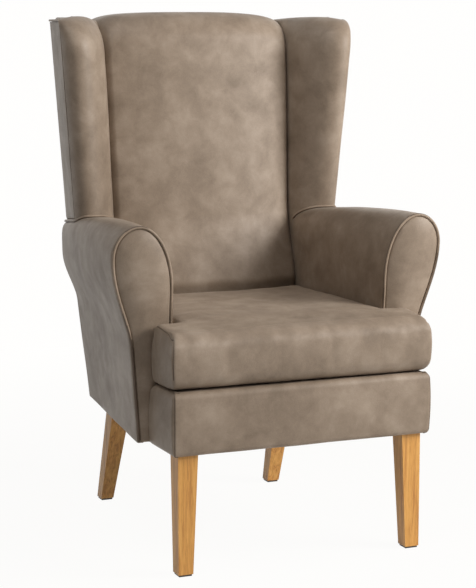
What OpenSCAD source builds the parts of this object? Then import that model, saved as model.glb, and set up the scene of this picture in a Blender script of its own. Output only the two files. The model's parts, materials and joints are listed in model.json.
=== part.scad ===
// Fireside wing chair: a hardwood frame on tapered oak legs, padded arms with
// rolled tops, padded wings, a high padded back and a loose T-shaped seat cushion.
// Millimetres. +Z is up, the front of the chair faces -Y, and "left" is -X.
// The origin is on the floor, under the middle of the chair's outline.

/* [Overall] */
// Depth from the front border to the back's rearmost edge
depth = 700; // [660:1:760]
// Height of the chair's underside above the floor
base_z = 244; // [200:1:280]
// Height of the middle of the back above the underside
back_h = 859; // [800:1:900]
// Lean of the back, in degrees from upright
back_lean = 4.75; // [3:0.25:7]

/* [Legs] */
// Width of a leg at its top
leg_top_w = 42; // [38:1:46]
// Width of a front leg at its foot
front_foot_w = 31; // [26:1:38]
// Width of a rear leg at its foot
rear_foot_w = 29; // [24:1:38]
// Distance from the front border's corner to the front legs' outer faces
front_leg_inset = 18; // [14:1:20]
// Distance from the arms' outer sides to the rear legs' outer faces
rear_leg_inset = 25; // [23:1:31]
// Distance of a rear leg's top in front of the back's rear face
rear_leg_set = 98; // [94:1:104]
// How far a rear leg's foot stands behind its top
rear_leg_rake = 94; // [40:1:100]
// Thickness of the nylon glide under each foot
glide_t = 4; // [3:0.5:5]
// Radius of a leg's hanger bolt
bolt_r = 4; // [3:0.5:5]
// Length of a hanger bolt inside the leg
bolt_in_leg = 35; // [25:1:40]
// Distance of a hanger bolt from the leg's two outer faces
bolt_set = 29; // [27:0.5:31]

/* [Seat] */
// Width of the seat across the front border
seat_w = 570; // [560:1:584]
// Height of the front border
border_h = 128; // [116:1:150]
// Thickness of the front border's padding
border_t = 12; // [8:1:14]
// How far the front border swells past its edges
border_swell = 3; // [1:0.5:5]
// Radius of the front border's top edge
border_round = 10; // [6:1:11]
// Radius of the front border's corners in plan
border_corner = 14; // [8:1:15]
// Thickness of the seat platform
platform_t = 30; // [20:1:32]
// Thickness of the seat cushion at its edges
cushion_t = 112; // [90:1:130]
// How much higher the cushion stands in its middle
cushion_crown = 5; // [2:1:20]
// How much higher the cushion's top stands behind its front edge
cushion_rise = 9; // [4:1:16]
// How far the cushion's sides swell past their seams
cushion_swell = 5; // [2:0.5:8]
// Radius over which the cushion's front panel turns into its top
cushion_round = 26; // [14:1:34]
// Radius of the edges where the cushion's flat side panels are sewn in
cushion_side_round = 9; // [5:1:14]
// Thickness of the cushion's wadding and cover round its foam
cushion_wrap = 16; // [10:1:20]

/* [Arms] */
// Distance of an arm's front behind the front border, at the underside
arm_setback = 145; // [135:1:165]
// Lean of the arm's front, in degrees from upright
arm_lean = 4.15; // [2:0.25:6]
// Lean of the arm's outer side, in degrees from upright
arm_side_lean = 5.25; // [3:0.25:6]
// How far the arms' outer sides stand out past the seat, at the underside's front
arm_foot_front_out = 18; // [13:1:27]
// How far the arms' outer sides stand out past the back, at the underside's rear
arm_foot_rear_out = 35; // [34:1:44]
// How far the widest part of the rolls stands out past the seat, at the front
arm_roll_front_out = 78; // [70:1:90]
// How far the widest part of the rolls stands out past the back, at the rear
arm_roll_rear_out = 86; // [82:1:92]
// How far the arms' inner sides stand in from the seat's sides, at the front
arm_in_front_set = 50; // [47:1:53]
// How far the arms' inner sides draw in towards the back's sides, at the rear
arm_in_rear_set = 7; // [3:1:8]
// How far the roll's side bows outward between its ends
arm_bow = 8; // [2:1:12]
// Height of the arm's top above the underside, at the front
arm_top_h = 442; // [425:1:470]
// How far the arm's top falls towards the rear, under the wing
arm_top_drop = 45; // [35:1:55]
// Height of the arm's top above the roll's widest part, at the front
arm_roll_front_drop = 64; // [50:1:77]
// Height of the arm's top above the roll's widest part, at the rear
arm_roll_rear_drop = 66; // [57:1:75]
// Height over which the front of the roll swells out from the arm's side
arm_neck_h = 182; // [150:1:200]
// Height over which the arm's inner side rounds into its top, at the front
arm_inner_round = 128; // [100:1:140]
// Thickness of the arm's padding
arm_pad_t = 14; // [10:1:15]
// Thickness of the arm facing
facing_t = 8; // [7:1:10]
// How far the arm facing swells forward
facing_crown = 5; // [2:0.5:8]
// Radius of the piping
piping_r = 3; // [2:0.25:3.25]

/* [Back and wings] */
// Depth of the back at the crease beside the wing
back_depth = 117; // [112:1:130]
// How much deeper the back is at the seat
lumbar = 30; // [10:1:36]
// Height above the cushion over which the lower back swells forward
lumbar_h = 175; // [140:1:200]
// How far the middle of the back stands in front of its creases
back_crown = 30; // [14:1:40]
// Half width of the back at its creases
back_half_w = 212; // [209:1:213]
// How much wider each side of the back is at the top
back_flare = 9; // [4:1:14]
// Radius of the rounded top of the back and the wings
top_round = 62; // [45:1:72]
// Thickness of the padding over the back's top rail
back_top_pad = 42; // [36:1:60]
// How far the wings' tops stand below the middle of the back's top
wing_drop = 10; // [0:1:20]
// How far the seams on the wings' outer front edges stand out past the back, at the arm
wing_seam_low_out = 98; // [92:1:102]
// How far the same seams stand out past the back, at the top
wing_seam_high_out = 131; // [118:1:140]
// How far the wing's nose stands in front of that seam
wing_nose = 42; // [34:1:54]
// Distance of that seam in front of the back's rear face, at the arm
wing_side_low = 139; // [130:1:150]
// Distance of that seam in front of the back's rear face, at the top
wing_side_high = 193; // [176:1:200]
// How far the rear edges of the wings stand out past the back, at the arm
wing_rear_low_out = 76; // [72:1:80]
// How far the rear edges of the wings stand out past the back, at the top
wing_rear_high_out = 95; // [88:1:102]

/* [Frame] */
// Thickness of the seat rails and the arm boards
rail_t = 18; // [15:1:19]
// Height of the seat rails
rail_h = 90; // [80:1:92]
// Height of the corner blocks
block_h = 50; // [40:1:70]
// Depth of the back uprights
upright_d = 45; // [36:1:50]
// Width of the back uprights
upright_w = 24; // [18:1:28]
// Height of the back's top and lower rails
back_rail_h = 60; // [45:1:75]
// Width of the arm's top rail
arm_rail_w = 44; // [36:1:50]
// Thickness of the wing boards
wing_board_t = 15; // [12:1:18]
// Width of the webbing straps
strap_w = 50; // [40:1:55]
// Thickness of the webbing straps
strap_t = 2; // [1.5:0.5:3]
// Thickness of the outside back and outside wing panels
panel_t = 6; // [4:1:7]

/* [Hidden] */

// Colours
leather = [0.52, 0.46, 0.40];
leather_dark = [0.42, 0.37, 0.32];
oak = [0.80, 0.58, 0.32];
beech = [0.82, 0.70, 0.52];
foam = [0.90, 0.87, 0.70];
cloth = [0.12, 0.12, 0.12];
strap_colour = [0.25, 0.22, 0.20];
nylon = [0.30, 0.28, 0.26];
steel = [0.70, 0.71, 0.72];

// Clearance between pieces that rest against each other
gap = 0.3;
// Overrun of a cut past the face it opens
over = 1;
// Clearance of a bolt in its hole
bolt_gap = 0.1;
// Thickness of the dust cover
dust_t = 1.5;

// Levels
front_y = -depth / 2;
rear_top_y = depth / 2;
top_z = base_z + back_h;
wing_top_z = top_z - wing_drop;
arm_top_z = base_z + arm_top_h;
arm_face_y = front_y + arm_setback;
deck_z = base_z + border_h;
platform_z = deck_z - gap - platform_t;
rail_z = base_z + dust_t + gap;
cross_z = min(rail_z + rail_h + gap, platform_z - 2 * (gap + strap_t)) + strap_t + gap;
strap_z = cross_z - strap_t - gap;
rail_top_z = strap_z - gap;

// Half widths: the front ones follow the seat, the rear ones the back
arm_in_front = seat_w / 2 - arm_in_front_set;
arm_foot_front = seat_w / 2 + arm_foot_front_out;
arm_roll_front = seat_w / 2 + arm_roll_front_out;
arm_in_rear = back_half_w - arm_in_rear_set;
arm_foot_rear = back_half_w + arm_foot_rear_out;
arm_roll_rear = back_half_w + arm_roll_rear_out;
wing_seam_low = back_half_w + wing_seam_low_out;
wing_seam_high = back_half_w + wing_seam_high_out;
wing_rear_low = back_half_w + wing_rear_low_out;
wing_rear_high = back_half_w + wing_rear_high_out;

// Seat frame in plan: the outer faces of the rails
frame_front_y = front_y + border_swell + border_t + gap;
frame_front_x = seat_w / 2 - border_swell - border_t - gap;
frame_rear_x = arm_foot_rear - arm_pad_t - gap;

function mix(a, b, t) = a + (b - a) * t;
function total(v) = v * [for (e = v) 1];
function smooth(t) = let (c = min(1, max(0, t))) c * c * (3 - 2 * c);
// The arm's front plane and the back's rear plane, as y at a height z
function face_y(z) = arm_face_y - (z - base_z) * tan(arm_lean);
function rear_y(z) = rear_top_y - (top_z - z) * tan(back_lean);
// Rear face of what lies inside the outside back, and front of the back frame
function inner_rear_y(z) = rear_y(z) - panel_t - gap;
function upright_y(z) = inner_rear_y(z) - upright_d;

// A polyhedron whose faces are turned to look outward, whichever way its
// rings run: a solid is the right way round where its signed volume is negative
module closed_solid(points, faces) {
    volume = total([for (f = faces) points[f[0]] * cross(points[f[1]], points[f[2]])]);
    turned = volume > 0 ? [for (f = faces) [f[2], f[1], f[0]]] : faces;
    polyhedron(points = points, faces = turned, convexity = 6);
}

function wall_faces(n, m) = [for (k = [0:m - 2], i = [0:n - 1], f = [0, 1])
    let (a = k * n + i, b = k * n + (i + 1) % n, c = a + n, d = b + n)
    f == 0 ? [a, b, d] : [a, d, c]];

// A solid through rings of the same count. Each end is closed by rungs from
// the first half of its ring to the second half, which runs back beside it
module ladder_skin(rings) {
    n = len(rings[0]);
    m = len(rings);
    closed_solid(
        [for (r = rings) each r],
        concat(wall_faces(n, m),
            [for (e = [0, m - 1], i = [0:n / 2 - 2], f = [0, 1])
                let (a = e * n + i, b = a + 1, d = e * n + n - 1 - i, c = d - 1)
                e == 0 ? (f == 0 ? [a, c, b] : [a, d, c]) : (f == 0 ? [a, b, c] : [a, c, d])]));
}

// The same, with each end closed by a fan round one point
module fan_skin(rings, low_middle, high_middle) {
    n = len(rings[0]);
    m = len(rings);
    o = (m - 1) * n;
    closed_solid(
        concat([for (r = rings) each r], [low_middle, high_middle]),
        concat(wall_faces(n, m),
            [for (i = [0:n - 1]) [(i + 1) % n, i, n * m]],
            [for (i = [0:n - 1]) [o + i, o + (i + 1) % n, n * m + 1]]));
}

// A round tube through points, with its rings set square to the path
function unit(v) = v / norm(v);
function heading(p, i) = unit(p[min(len(p) - 1, i + 1)] - p[max(0, i - 1)]);
module tube(p, r, side, sides = 8) {
    rings = [for (i = [0:len(p) - 1])
        let (t = heading(p, i), u = unit(side - (side * t) * t), v = cross(t, u))
        [for (k = [0:sides - 1]) let (a = 360 * k / sides)
            p[i] + r * cos(a) * u + r * sin(a) * v]];
    fan_skin(rings, p[0], p[len(p) - 1]);
}

// A section drawn in (y, z), run along x
module along_x(x_from, x_to) {
    translate([x_from, 0, 0]) rotate([90, 0, 90]) linear_extrude(x_to - x_from) children();
}

// A rail or post that leans with the back, its front face set off from the uprights'
module leaning(x_from, x_to, z_from, z_to, front, thick) {
    along_x(x_from, x_to) polygon([
        [upright_y(z_from) + front, z_from], [upright_y(z_from) + front + thick, z_from],
        [upright_y(z_to) + front + thick, z_to], [upright_y(z_to) + front, z_to]]);
}

module mirrored(side) {
    if (side < 0) mirror([1, 0, 0]) children();
    else children();
}
module both_sides() {
    for (side = [-1, 1]) mirrored(side) children();
}

// Legs: the front ones taper on their two inner faces, the rear ones rake back
front_leg_x = seat_w / 2 - front_leg_inset;
front_leg_y = front_y + front_leg_inset;
rear_leg_x = arm_foot_rear - rear_leg_inset;
rear_leg_y = rear_y(base_z) - rear_leg_set;
rear_bolt_share = 0.6;
front_bolt = [front_leg_x - bolt_set, front_leg_y + bolt_set];
rear_bolt = [rear_leg_x - leg_top_w / 2, rear_leg_y + leg_top_w * rear_bolt_share];

function leg_square(x_out, y_front, w, z) = [
    [x_out - w, y_front, z], [x_out - w, y_front + w, z],
    [x_out, y_front + w, z], [x_out, y_front, z]];

module bolt_hole(at, z_from, z_to, clear) {
    translate([at.x, at.y, z_from]) cylinder(r = bolt_r + clear, h = z_to - z_from, $fn = 32);
}

module front_leg() {
    color(oak) difference() {
        ladder_skin([
            leg_square(front_leg_x, front_leg_y, front_foot_w, glide_t),
            leg_square(front_leg_x, front_leg_y, leg_top_w, base_z)]);
        bolt_hole(front_bolt, base_z - bolt_in_leg - bolt_gap, base_z + over, bolt_gap);
    }
}

module rear_leg() {
    color(oak) difference() {
        ladder_skin([
            leg_square(rear_leg_x, rear_leg_y + rear_leg_rake, rear_foot_w, glide_t),
            leg_square(rear_leg_x, rear_leg_y, leg_top_w, base_z)]);
        bolt_hole(rear_bolt, base_z - bolt_in_leg - bolt_gap, base_z + over, bolt_gap);
    }
}

// Nylon glides, a little smaller than the feet
glide_share = 0.86;
module glide(x_out, y_front, w) {
    inset = w * (1 - glide_share) / 2;
    translate([x_out - w + inset, y_front + inset, 0])
        cube([w * glide_share, w * glide_share, glide_t]);
}
module leg_glides() {
    color(nylon) both_sides() {
        glide(front_leg_x, front_leg_y, front_foot_w);
        glide(rear_leg_x, rear_leg_y + rear_leg_rake, rear_foot_w);
    }
}

// Hanger bolts rise from the legs through the corner blocks to their nuts
nut_r_share = 1.8;
nut_h_share = 1.6;
bolt_end_share = 1.4;
nut_r = bolt_r * nut_r_share;
nut_h = bolt_r * nut_h_share;
nut_z = rail_z + block_h;
bolt_end_z = nut_z + nut_h * bolt_end_share;
module leg_bolts() {
    color(steel) both_sides() for (at = [front_bolt, rear_bolt])
        bolt_hole(at, base_z - bolt_in_leg, bolt_end_z, 0);
}
module leg_nuts() {
    color(steel) both_sides() for (at = [front_bolt, rear_bolt]) difference() {
        translate([at.x, at.y, nut_z]) cylinder(r = nut_r, h = nut_h, $fn = 6);
        bolt_hole(at, nut_z - over, nut_z + nut_h + over, bolt_gap);
    }
}

// Seat rails in plan. rail_x gives the side rails' outer face at a depth y
rail_rear_y = inner_rear_y(rail_z);
function rail_x(y) = mix(frame_front_x, frame_rear_x,
    (y - frame_front_y) / (rail_rear_y - frame_front_y));
side_rail_y = frame_front_y + rail_t + gap;

module seat_front_rail() {
    color(beech) translate([-frame_front_x, frame_front_y, rail_z])
        cube([2 * frame_front_x, rail_t, rail_top_z - rail_z]);
}

module seat_back_rail() {
    half = back_half_w - upright_w - gap;
    color(beech) leaning(-half, half, rail_z, rail_top_z, upright_d - rail_t, rail_t);
}

module seat_side_rail() {
    color(beech) translate([0, 0, rail_z]) linear_extrude(rail_top_z - rail_z) polygon([
        [rail_x(side_rail_y), side_rail_y], [rail_x(rail_rear_y), rail_rear_y],
        [rail_x(rail_rear_y) - rail_t, rail_rear_y],
        [rail_x(side_rail_y) - rail_t, side_rail_y]]);
}

// A block behind each front corner and before each back upright
block_w = leg_top_w + rail_t;
module corner_block(at, y_from, y_to) {
    translate([0, 0, rail_z]) linear_extrude(block_h) polygon([
        [at.x - block_w / 2, y_from], [rail_x(y_from) - rail_t - gap, y_from],
        [rail_x(y_to) - rail_t - gap, y_to], [at.x - block_w / 2, y_to]]);
}
module corner_blocks() {
    color(beech) both_sides() {
        difference() {
            corner_block(front_bolt, side_rail_y, side_rail_y + block_w);
            bolt_hole(front_bolt, rail_z - over, nut_z + over, bolt_gap);
        }
        difference() {
            corner_block(rear_bolt, upright_y(rail_z) - gap - block_w, upright_y(rail_z) - gap);
            bolt_hole(rear_bolt, rail_z - over, nut_z + over, bolt_gap);
        }
    }
}

module dust_cover() {
    color(cloth) difference() {
        translate([0, 0, base_z]) linear_extrude(dust_t) polygon([
            [-frame_front_x, frame_front_y], [frame_front_x, frame_front_y],
            [rail_x(rail_rear_y), rail_rear_y], [-rail_x(rail_rear_y), rail_rear_y]]);
        both_sides() for (at = [front_bolt, rear_bolt])
            bolt_hole(at, base_z - over, base_z + dust_t + over, bolt_gap);
    }
}

// Webbing: straps from front to rear, and straps across on top of them
long_strap_shares = [-0.72, -0.24, 0.24, 0.72];
cross_strap_shares = [0.12, 0.34, 0.56, 0.78];
strap_end = rail_t / 3;
module seat_webbing() {
    y_from = frame_front_y + strap_end;
    y_to = inner_rear_y(rail_top_z) - strap_end;
    x_reach = back_half_w - upright_w - strap_w / 2;
    color(strap_colour) {
        for (s = long_strap_shares)
            translate([s * x_reach - strap_w / 2, y_from, strap_z])
                cube([strap_w, y_to - y_from, strap_t]);
        for (s = cross_strap_shares) {
            y = mix(y_from, y_to, s);
            half = rail_x(y + strap_w) - strap_end;
            translate([-half, y, cross_z]) cube([2 * half, strap_w, strap_t]);
        }
    }
}

// Seat platform: T-shaped, inside the front border and between the arms
ear_y = face_y(deck_z) - facing_crown - 2 * gap;
arm_line_y = [face_y(deck_z) + facing_t + gap, inner_rear_y(deck_z)];
function arm_inner_x(t) = max(back_half_w + gap, mix(arm_in_front, arm_in_rear, t));
function seat_half_x(y) =
    arm_inner_x((y - arm_line_y[0]) / (arm_line_y[1] - arm_line_y[0])) - gap;
// Where the arms' inner faces stop drawing together, beside the back
arms_meet_y = mix(arm_line_y[0], arm_line_y[1], arm_in_front > back_half_w + gap
    ? (arm_in_front - back_half_w - gap) / (arm_in_front - arm_in_rear) : 0);
platform_rear_y = upright_y(platform_z) - 3 * (gap + strap_t);

module seat_platform() {
    right = [
        [back_half_w, platform_rear_y], [back_half_w, arms_meet_y], [seat_half_x(ear_y), ear_y],
        [frame_front_x, ear_y], [frame_front_x, frame_front_y]];
    left = [for (i = [len(right) - 1:-1:0]) [-right[i].x, right[i].y]];
    color(cloth) translate([0, 0, platform_z]) linear_extrude(platform_t)
        polygon(concat(right, left));
}

// Front border: one section carried round the front rail and back to the arms.
// Each section point is [distance in from the outer face, height share]
border_steps = 5;
border_in = border_swell + border_t;
function border_section() = concat(
    [for (i = [0:border_steps]) let (s = i / border_steps)
        [border_swell * pow(2 * s - 1, 2), mix(base_z, deck_z - border_round, s)]],
    [for (a = [30:30:90])
        [border_swell + border_round * (1 - cos(a)), deck_z - border_round * (1 - sin(a))]],
    [for (a = [0:30:60])
        [border_in, mix(deck_z, deck_z - border_round, a / 90)]],
    [for (i = [border_steps:-1:0])
        [border_in, mix(base_z, deck_z - border_round, i / border_steps)]]);

module front_border() {
    half = seat_w / 2;
    centre = [half - border_corner, front_y + border_corner];
    section = border_section();
    corner = [for (a = [0:15:90]) [centre.x, centre.y, cos(a), -sin(a)]];
    right = concat(
        [[half - border_corner, 0, 1, 0], [half - border_corner, mix(ear_y, front_y, 0.5), 1, 0]],
        corner);
    path = concat(right, [for (i = [len(right) - 1:-1:0])
        [-right[i][0], right[i][1], -right[i][2], right[i][3]]]);
    last = len(path) - 1;
    color(leather) ladder_skin([for (i = [0:last]) let (p = path[i]) [for (q = section)
        [p[0] + p[2] * (border_corner - q[0]),
         i == 0 || i == last ? face_y(q[1]) - facing_crown - 2 * gap
             : p[1] + p[3] * (border_corner - q[0]),
         q[1]]]]);
}

// Seat cushion. It lifts out along the lean of the arm facings
cushion_z = deck_z + gap;
cushion_top_z = cushion_z + cushion_t;
cushion_clear = 3 * gap;
cushion_side_clear = 5 * gap;
// Radii in plan of its rear corners, its ears' rear corners and its front corners
cushion_corner = 16;
ear_corner = 12;
front_corner = 8;
side_turn_share = 1.5;
rear_edge_share = 0.3;
rear_bow_share = 0.7;
rear_bow_power = 2.5;
function rise_at(y) = cushion_rise * smooth((y - front_y) / (ear_y - front_y));
cushion_rear_y = upright_y(cushion_z) + upright_d - back_depth - lumbar - back_crown
    + panel_t + gap - cushion_clear;
cushion_middle = [0, mix(front_y, ear_y, 0.5)];
rear_bow = back_crown * rear_bow_share;
function cushion_ear_y(z) = face_y(z) - facing_crown - cushion_clear;
function rear_bow_y(x) = rear_bow * pow(abs(x) / back_half_w, rear_bow_power);

// Right half of the outline at a height z, from the rear to the front. The front, the
// ears' sides and the rest are drawn in by the three lengths in d
function cushion_half(z, d) = let (
    half = seat_w / 2 - d[1], front = front_y + d[0], ear = cushion_ear_y(z) - d[2],
    rear_x = seat_half_x(cushion_rear_y) - cushion_side_clear - d[2],
    neck_x = seat_half_x(ear_y) - cushion_side_clear - d[2],
    rear_y = cushion_rear_y - d[2] * rear_edge_share)
    concat(
        [for (s = [0.2, 0.5, 0.8]) [s * (rear_x - cushion_corner),
            rear_y + rear_bow_y(s * rear_x)]],
        [for (a = [0:30:90])
            [rear_x - cushion_corner * (1 - sin(a)),
             rear_y + rear_bow_y(rear_x) - cushion_corner * (1 - cos(a))]],
        [for (s = [0.3, 0.6, 0.85]) [mix(rear_x, neck_x, s), mix(cushion_rear_y, ear, s)]],
        [[neck_x, ear]],
        [for (a = [0:30:90])
            [half - ear_corner * (1 - sin(a)), ear - ear_corner * (1 - cos(a))]],
        [for (s = [0.4, 0.75]) [half, mix(ear, front, s)]],
        [for (a = [0:22.5:90])
            [half - front_corner * (1 - cos(a)), front + front_corner * (1 - sin(a))]],
        [for (s = [0.8, 0.5, 0.2]) [s * (half - front_corner), front]]);
// Its edge radius there: along the ears' sides it grows into the front's
cushion_edges = [for (p = cushion_half(cushion_z, [0, 0, 0])) mix(cushion_side_round, cushion_round,
    smooth((front_y + side_turn_share * cushion_round - p.y) / cushion_round))];
function cushion_ring(z, d, drop) = let (
    h = cushion_half(z, d), n = len(h), lift = pow((z - cushion_z) / cushion_t, 2),
    right = [for (i = [0:n - 1]) let (p = h[i])
        [p.x, p.y, z - drop * cushion_edges[i] + lift * rise_at(p.y)]])
    concat(right, [for (i = [n - 1:-1:0]) [-right[i].x, right[i].y, right[i].z]]);

// Rings up the side: [height share, share of the edge radius that is drawn in]
cushion_side_shares = [[0, 0.45], [0.04, 0.12], [0.12, 0], [0.3, 0], [0.52, 0], [0.7, 0]];
// Rings over the top, as shares of the outline round the cushion's middle
cushion_top_shares = [0.9, 0.72, 0.5, 0.26];
cushion_rounds = [cushion_round, cushion_side_round, cushion_side_round];
function swell_in(s) = let (d = cushion_swell * pow(2 * s - 1, 2)) [d, d, d];
function crown_z(s, y) = cushion_top_z + rise_at(y) + cushion_crown * (1 - pow(s, 3));

module cushion_shape() {
    edge = [for (a = [0:30:90])
        cushion_ring(cushion_top_z, swell_in(1) + cushion_rounds * (1 - cos(a)), 1 - sin(a))];
    side = [for (q = cushion_side_shares) cushion_ring(cushion_z + q[0] * cushion_t,
        swell_in(q[0]) + q[1] * cushion_round * [1, 1, 1], 0)];
    rim = edge[len(edge) - 1];
    top = [for (s = cushion_top_shares) [for (p = rim) let (
        x = cushion_middle.x + s * (p.x - cushion_middle.x),
        y = cushion_middle.y + s * (p.y - cushion_middle.y)) [x, y, crown_z(s, y)]]];
    fan_skin(concat(side, edge, top),
        [cushion_middle.x, cushion_middle.y, cushion_z],
        [cushion_middle.x, cushion_middle.y, crown_z(0, cushion_middle.y)]);
}

module foam_shape(grow) {
    wrap = cushion_wrap - grow;
    neck_x = seat_half_x(ear_y) - cushion_side_clear - wrap;
    rear_x = seat_half_x(cushion_rear_y) - cushion_side_clear - wrap;
    ear = cushion_ear_y(cushion_top_z) - wrap;
    right = [[rear_x, cushion_rear_y - wrap], [neck_x, ear],
        [seat_w / 2 - cushion_swell - wrap, ear],
        [seat_w / 2 - cushion_swell - wrap, front_y + cushion_swell + wrap]];
    left = [for (i = [3:-1:0]) [-right[i].x, right[i].y]];
    translate([0, 0, cushion_z + wrap]) linear_extrude(cushion_t - 2 * wrap)
        polygon(concat(right, left));
}

module seat_cushion_cover() {
    color(leather) difference() {
        cushion_shape();
        foam_shape(gap);
    }
}
module seat_cushion_foam() {
    color(foam) foam_shape(0);
}

// Back frame
frame_top_z = top_z - back_top_pad;
lower_rail_z = deck_z + back_rail_h / 3;
module back_upright() {
    color(beech) leaning(back_half_w - upright_w, back_half_w, rail_z, frame_top_z, 0, upright_d);
}
module back_top_rail() {
    half = back_half_w - upright_w - gap;
    color(beech) leaning(-half, half, frame_top_z - back_rail_h, frame_top_z, 0, rail_t);
}
module back_lower_rail() {
    half = back_half_w - upright_w - gap;
    color(beech) leaning(-half, half, lower_rail_z, lower_rail_z + back_rail_h, 0, rail_t);
}

// Straps across the uprights, and upright straps on top of them
back_cross_shares = [0.12, 0.31, 0.5, 0.69, 0.88];
back_long_shares = [-0.55, 0, 0.55];
module back_webbing() {
    half = back_half_w - upright_w / 4;
    z_from = lower_rail_z + strap_end;
    z_to = frame_top_z - strap_end;
    color(strap_colour) {
        for (s = back_cross_shares) {
            z = mix(z_from + back_rail_h, z_to - back_rail_h, s) - strap_w / 2;
            leaning(-half, half, z, z + strap_w, -gap - strap_t, strap_t);
        }
        for (s = back_long_shares) {
            x = s * (back_half_w - upright_w);
            leaning(x - strap_w / 2, x + strap_w / 2, z_from, z_to,
                -2 * (gap + strap_t), strap_t);
        }
    }
}

// Inside back: a padded shell in front of the frame and over its top rail. Its top
// falls by these two at its creases, and its top rear edge is drawn forward
top_sag = 8;
corner_sag = 13;
rear_round = 14;
crown_power = 2.6;
back_x_shares = [-1, -0.97, -0.9, -0.75, -0.5, -0.2, 0.2, 0.5, 0.75, 0.9, 0.97, 1];
back_z_shares = [0, 0.12, 0.2, 0.28, 0.36, 0.44, 0.6, 0.8];
function back_half_x(z) = back_half_w
    + back_flare * min(1, max(0, (z - arm_top_z) / (wing_top_z - arm_top_z)));
function back_top(s) = top_z - top_sag * pow(s, 2) - corner_sag * pow(abs(s), 8);
function back_depth_at(z) = back_depth
    + lumbar * smooth((cushion_top_z + lumbar_h - z) / lumbar_h);
function back_face_y(s, z) = rear_y(z) - back_depth_at(z)
    - back_crown * (1 - pow(abs(s), crown_power));

// One ring of the back: a share of the height below its rounded top, or an angle over it
function back_ring(share, angle) = let (
    front = [for (s = back_x_shares) let (
        z_round = back_top(s) - top_round,
        z = share < 1 ? mix(deck_z + gap, z_round, share) : z_round + top_round * sin(angle),
        d = share < 1 ? 0 : top_round * (1 - cos(angle)))
        [s * back_half_x(z), back_face_y(s, min(z, z_round)) + d
            + max(0, z - z_round) * tan(back_lean), z]],
    n = len(front),
    rear = [for (i = [n - 1:-1:0]) [front[i].x,
        inner_rear_y(front[i].z) - (share < 1 ? 0 : rear_round * (1 - cos(angle))),
        front[i].z]])
    concat(front, rear);

module inside_back() {
    reach = back_half_w + back_flare + over;
    room = 2 * (strap_t + gap) + gap;
    color(leather) difference() {
        ladder_skin(concat([for (s = back_z_shares) back_ring(s, 0)],
            [for (a = [0:15:90]) back_ring(1, a)]));
        leaning(-reach, reach, deck_z - over, frame_top_z + gap, -room,
            room + upright_d + over);
    }
}

// Arms. The outline is a rolled top over a leaning side, given at a share t of
// the way from the front to the rear, drawn in by d, down to a height z_low
crest_share = 0.575;
neck_share = 0.6;
square_share = 0.4;
inner_round_share = 0.36;
side_shares = [0, 0.28, 0.5, 0.6, 0.7, 0.8, 0.9];
fall_power = 2;
function arm_roll_x(t) = mix(arm_roll_front, arm_roll_rear, t) + 4 * arm_bow * t * (1 - t);
function arm_roll_z(t) = arm_top_z
    - mix(arm_roll_front_drop, arm_top_drop + arm_roll_rear_drop, t);
function arm_crest_x(t) = mix(arm_inner_x(t), arm_roll_x(t), crest_share);
function arm_crest_z(t) = arm_top_z - arm_top_drop * pow(t, fall_power);
function arm_square(t) = mix(1, square_share, t);
function arm_round(t) = mix(arm_inner_round, arm_inner_round * inner_round_share, t);
function arm_neck(t) = mix(arm_neck_h, arm_neck_h * neck_share, t);
function arm_side_x(t, z) = mix(
    mix(arm_foot_front, arm_foot_rear, t) + (z - base_z) * tan(arm_side_lean),
    arm_roll_x(t), smooth((z - arm_roll_z(t) + arm_neck(t)) / arm_neck(t)));

function arm_outline(t, d, z_low) = let (
    x_in = arm_inner_x(t) + d, x_top = arm_crest_x(t), p = arm_square(t),
    z_top = arm_crest_z(t) - d, z_roll = arm_roll_z(t), z_in = z_top + d - arm_round(t))
    concat(
        [for (i = [0:6]) [x_in, mix(z_low, z_in, i / 7)]],
        [for (a = [0:10:80])
            [x_top - (x_top - x_in) * pow(cos(a), p), z_in + (z_top - z_in) * pow(sin(a), p)]],
        [for (a = [90:-10:10])
            [x_top + (arm_roll_x(t) - d - x_top) * pow(cos(a), p),
             z_roll + (z_top - z_roll) * pow(sin(a), p)]],
        [for (i = [6:-1:0]) let (z = mix(z_low, z_roll, side_shares[i]))
            [arm_side_x(t, z) - d, z]]);

// Height of the arm's top surface over a point in plan
arm_end_z = arm_top_z - arm_top_drop / 2;
arm_start_y = face_y(arm_end_z) + facing_t + gap;
function arm_t(y) = (y - arm_start_y) / (inner_rear_y(arm_end_z) - arm_start_y);
function arm_surface_z(x, y) = let (
    t = min(1, arm_t(y)), outer = x > arm_crest_x(t), p = arm_square(t),
    half = outer ? arm_roll_x(t) - arm_crest_x(t) : arm_crest_x(t) - arm_inner_x(t),
    z_low = outer ? arm_roll_z(t) : arm_crest_z(t) - arm_round(t),
    q = min(1, abs(x - arm_crest_x(t)) / half))
    z_low + (arm_crest_z(t) - z_low) * pow(1 - pow(q, 2 / p), p / 2);

arm_ring_shares = [0, 0.15, 0.3, 0.45, 0.6, 0.75, 0.88, 1];
function arm_point(t, x, z, past) =
    [x, mix(face_y(z) + facing_t + gap, inner_rear_y(z), t) + past, z];
function arm_rings(d, past) = [for (t = arm_ring_shares) [for (q = arm_outline(t, d, base_z))
    arm_point(t, q.x, q.y, t == 1 ? past : 0)]];

// A board in the plane of the arm's front, between two distances behind that plane
module front_plane_board(d, z_low, y_from, y_to) {
    ladder_skin([for (y = [y_from, y_to])
        [for (q = arm_outline(0, d, z_low)) [q.x, face_y(q.y) + y, q.y]]]);
}

// Room for the seat frame: everything inboard of the side rail, below the webbing's top
module seat_frame_room(z_to) {
    y_from = front_y - over;
    y_to = rear_top_y + over;
    translate([0, 0, base_z - over]) linear_extrude(z_to - base_z + over) polygon([
        [0, y_from], [rail_x(y_from) + gap, y_from], [rail_x(y_to) + gap, y_to], [0, y_to]]);
}
frame_room_z = cross_z + strap_t + gap;
board_y = facing_t + gap;
post_top_z = arm_crest_z(1) - 2 * arm_pad_t;

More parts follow.
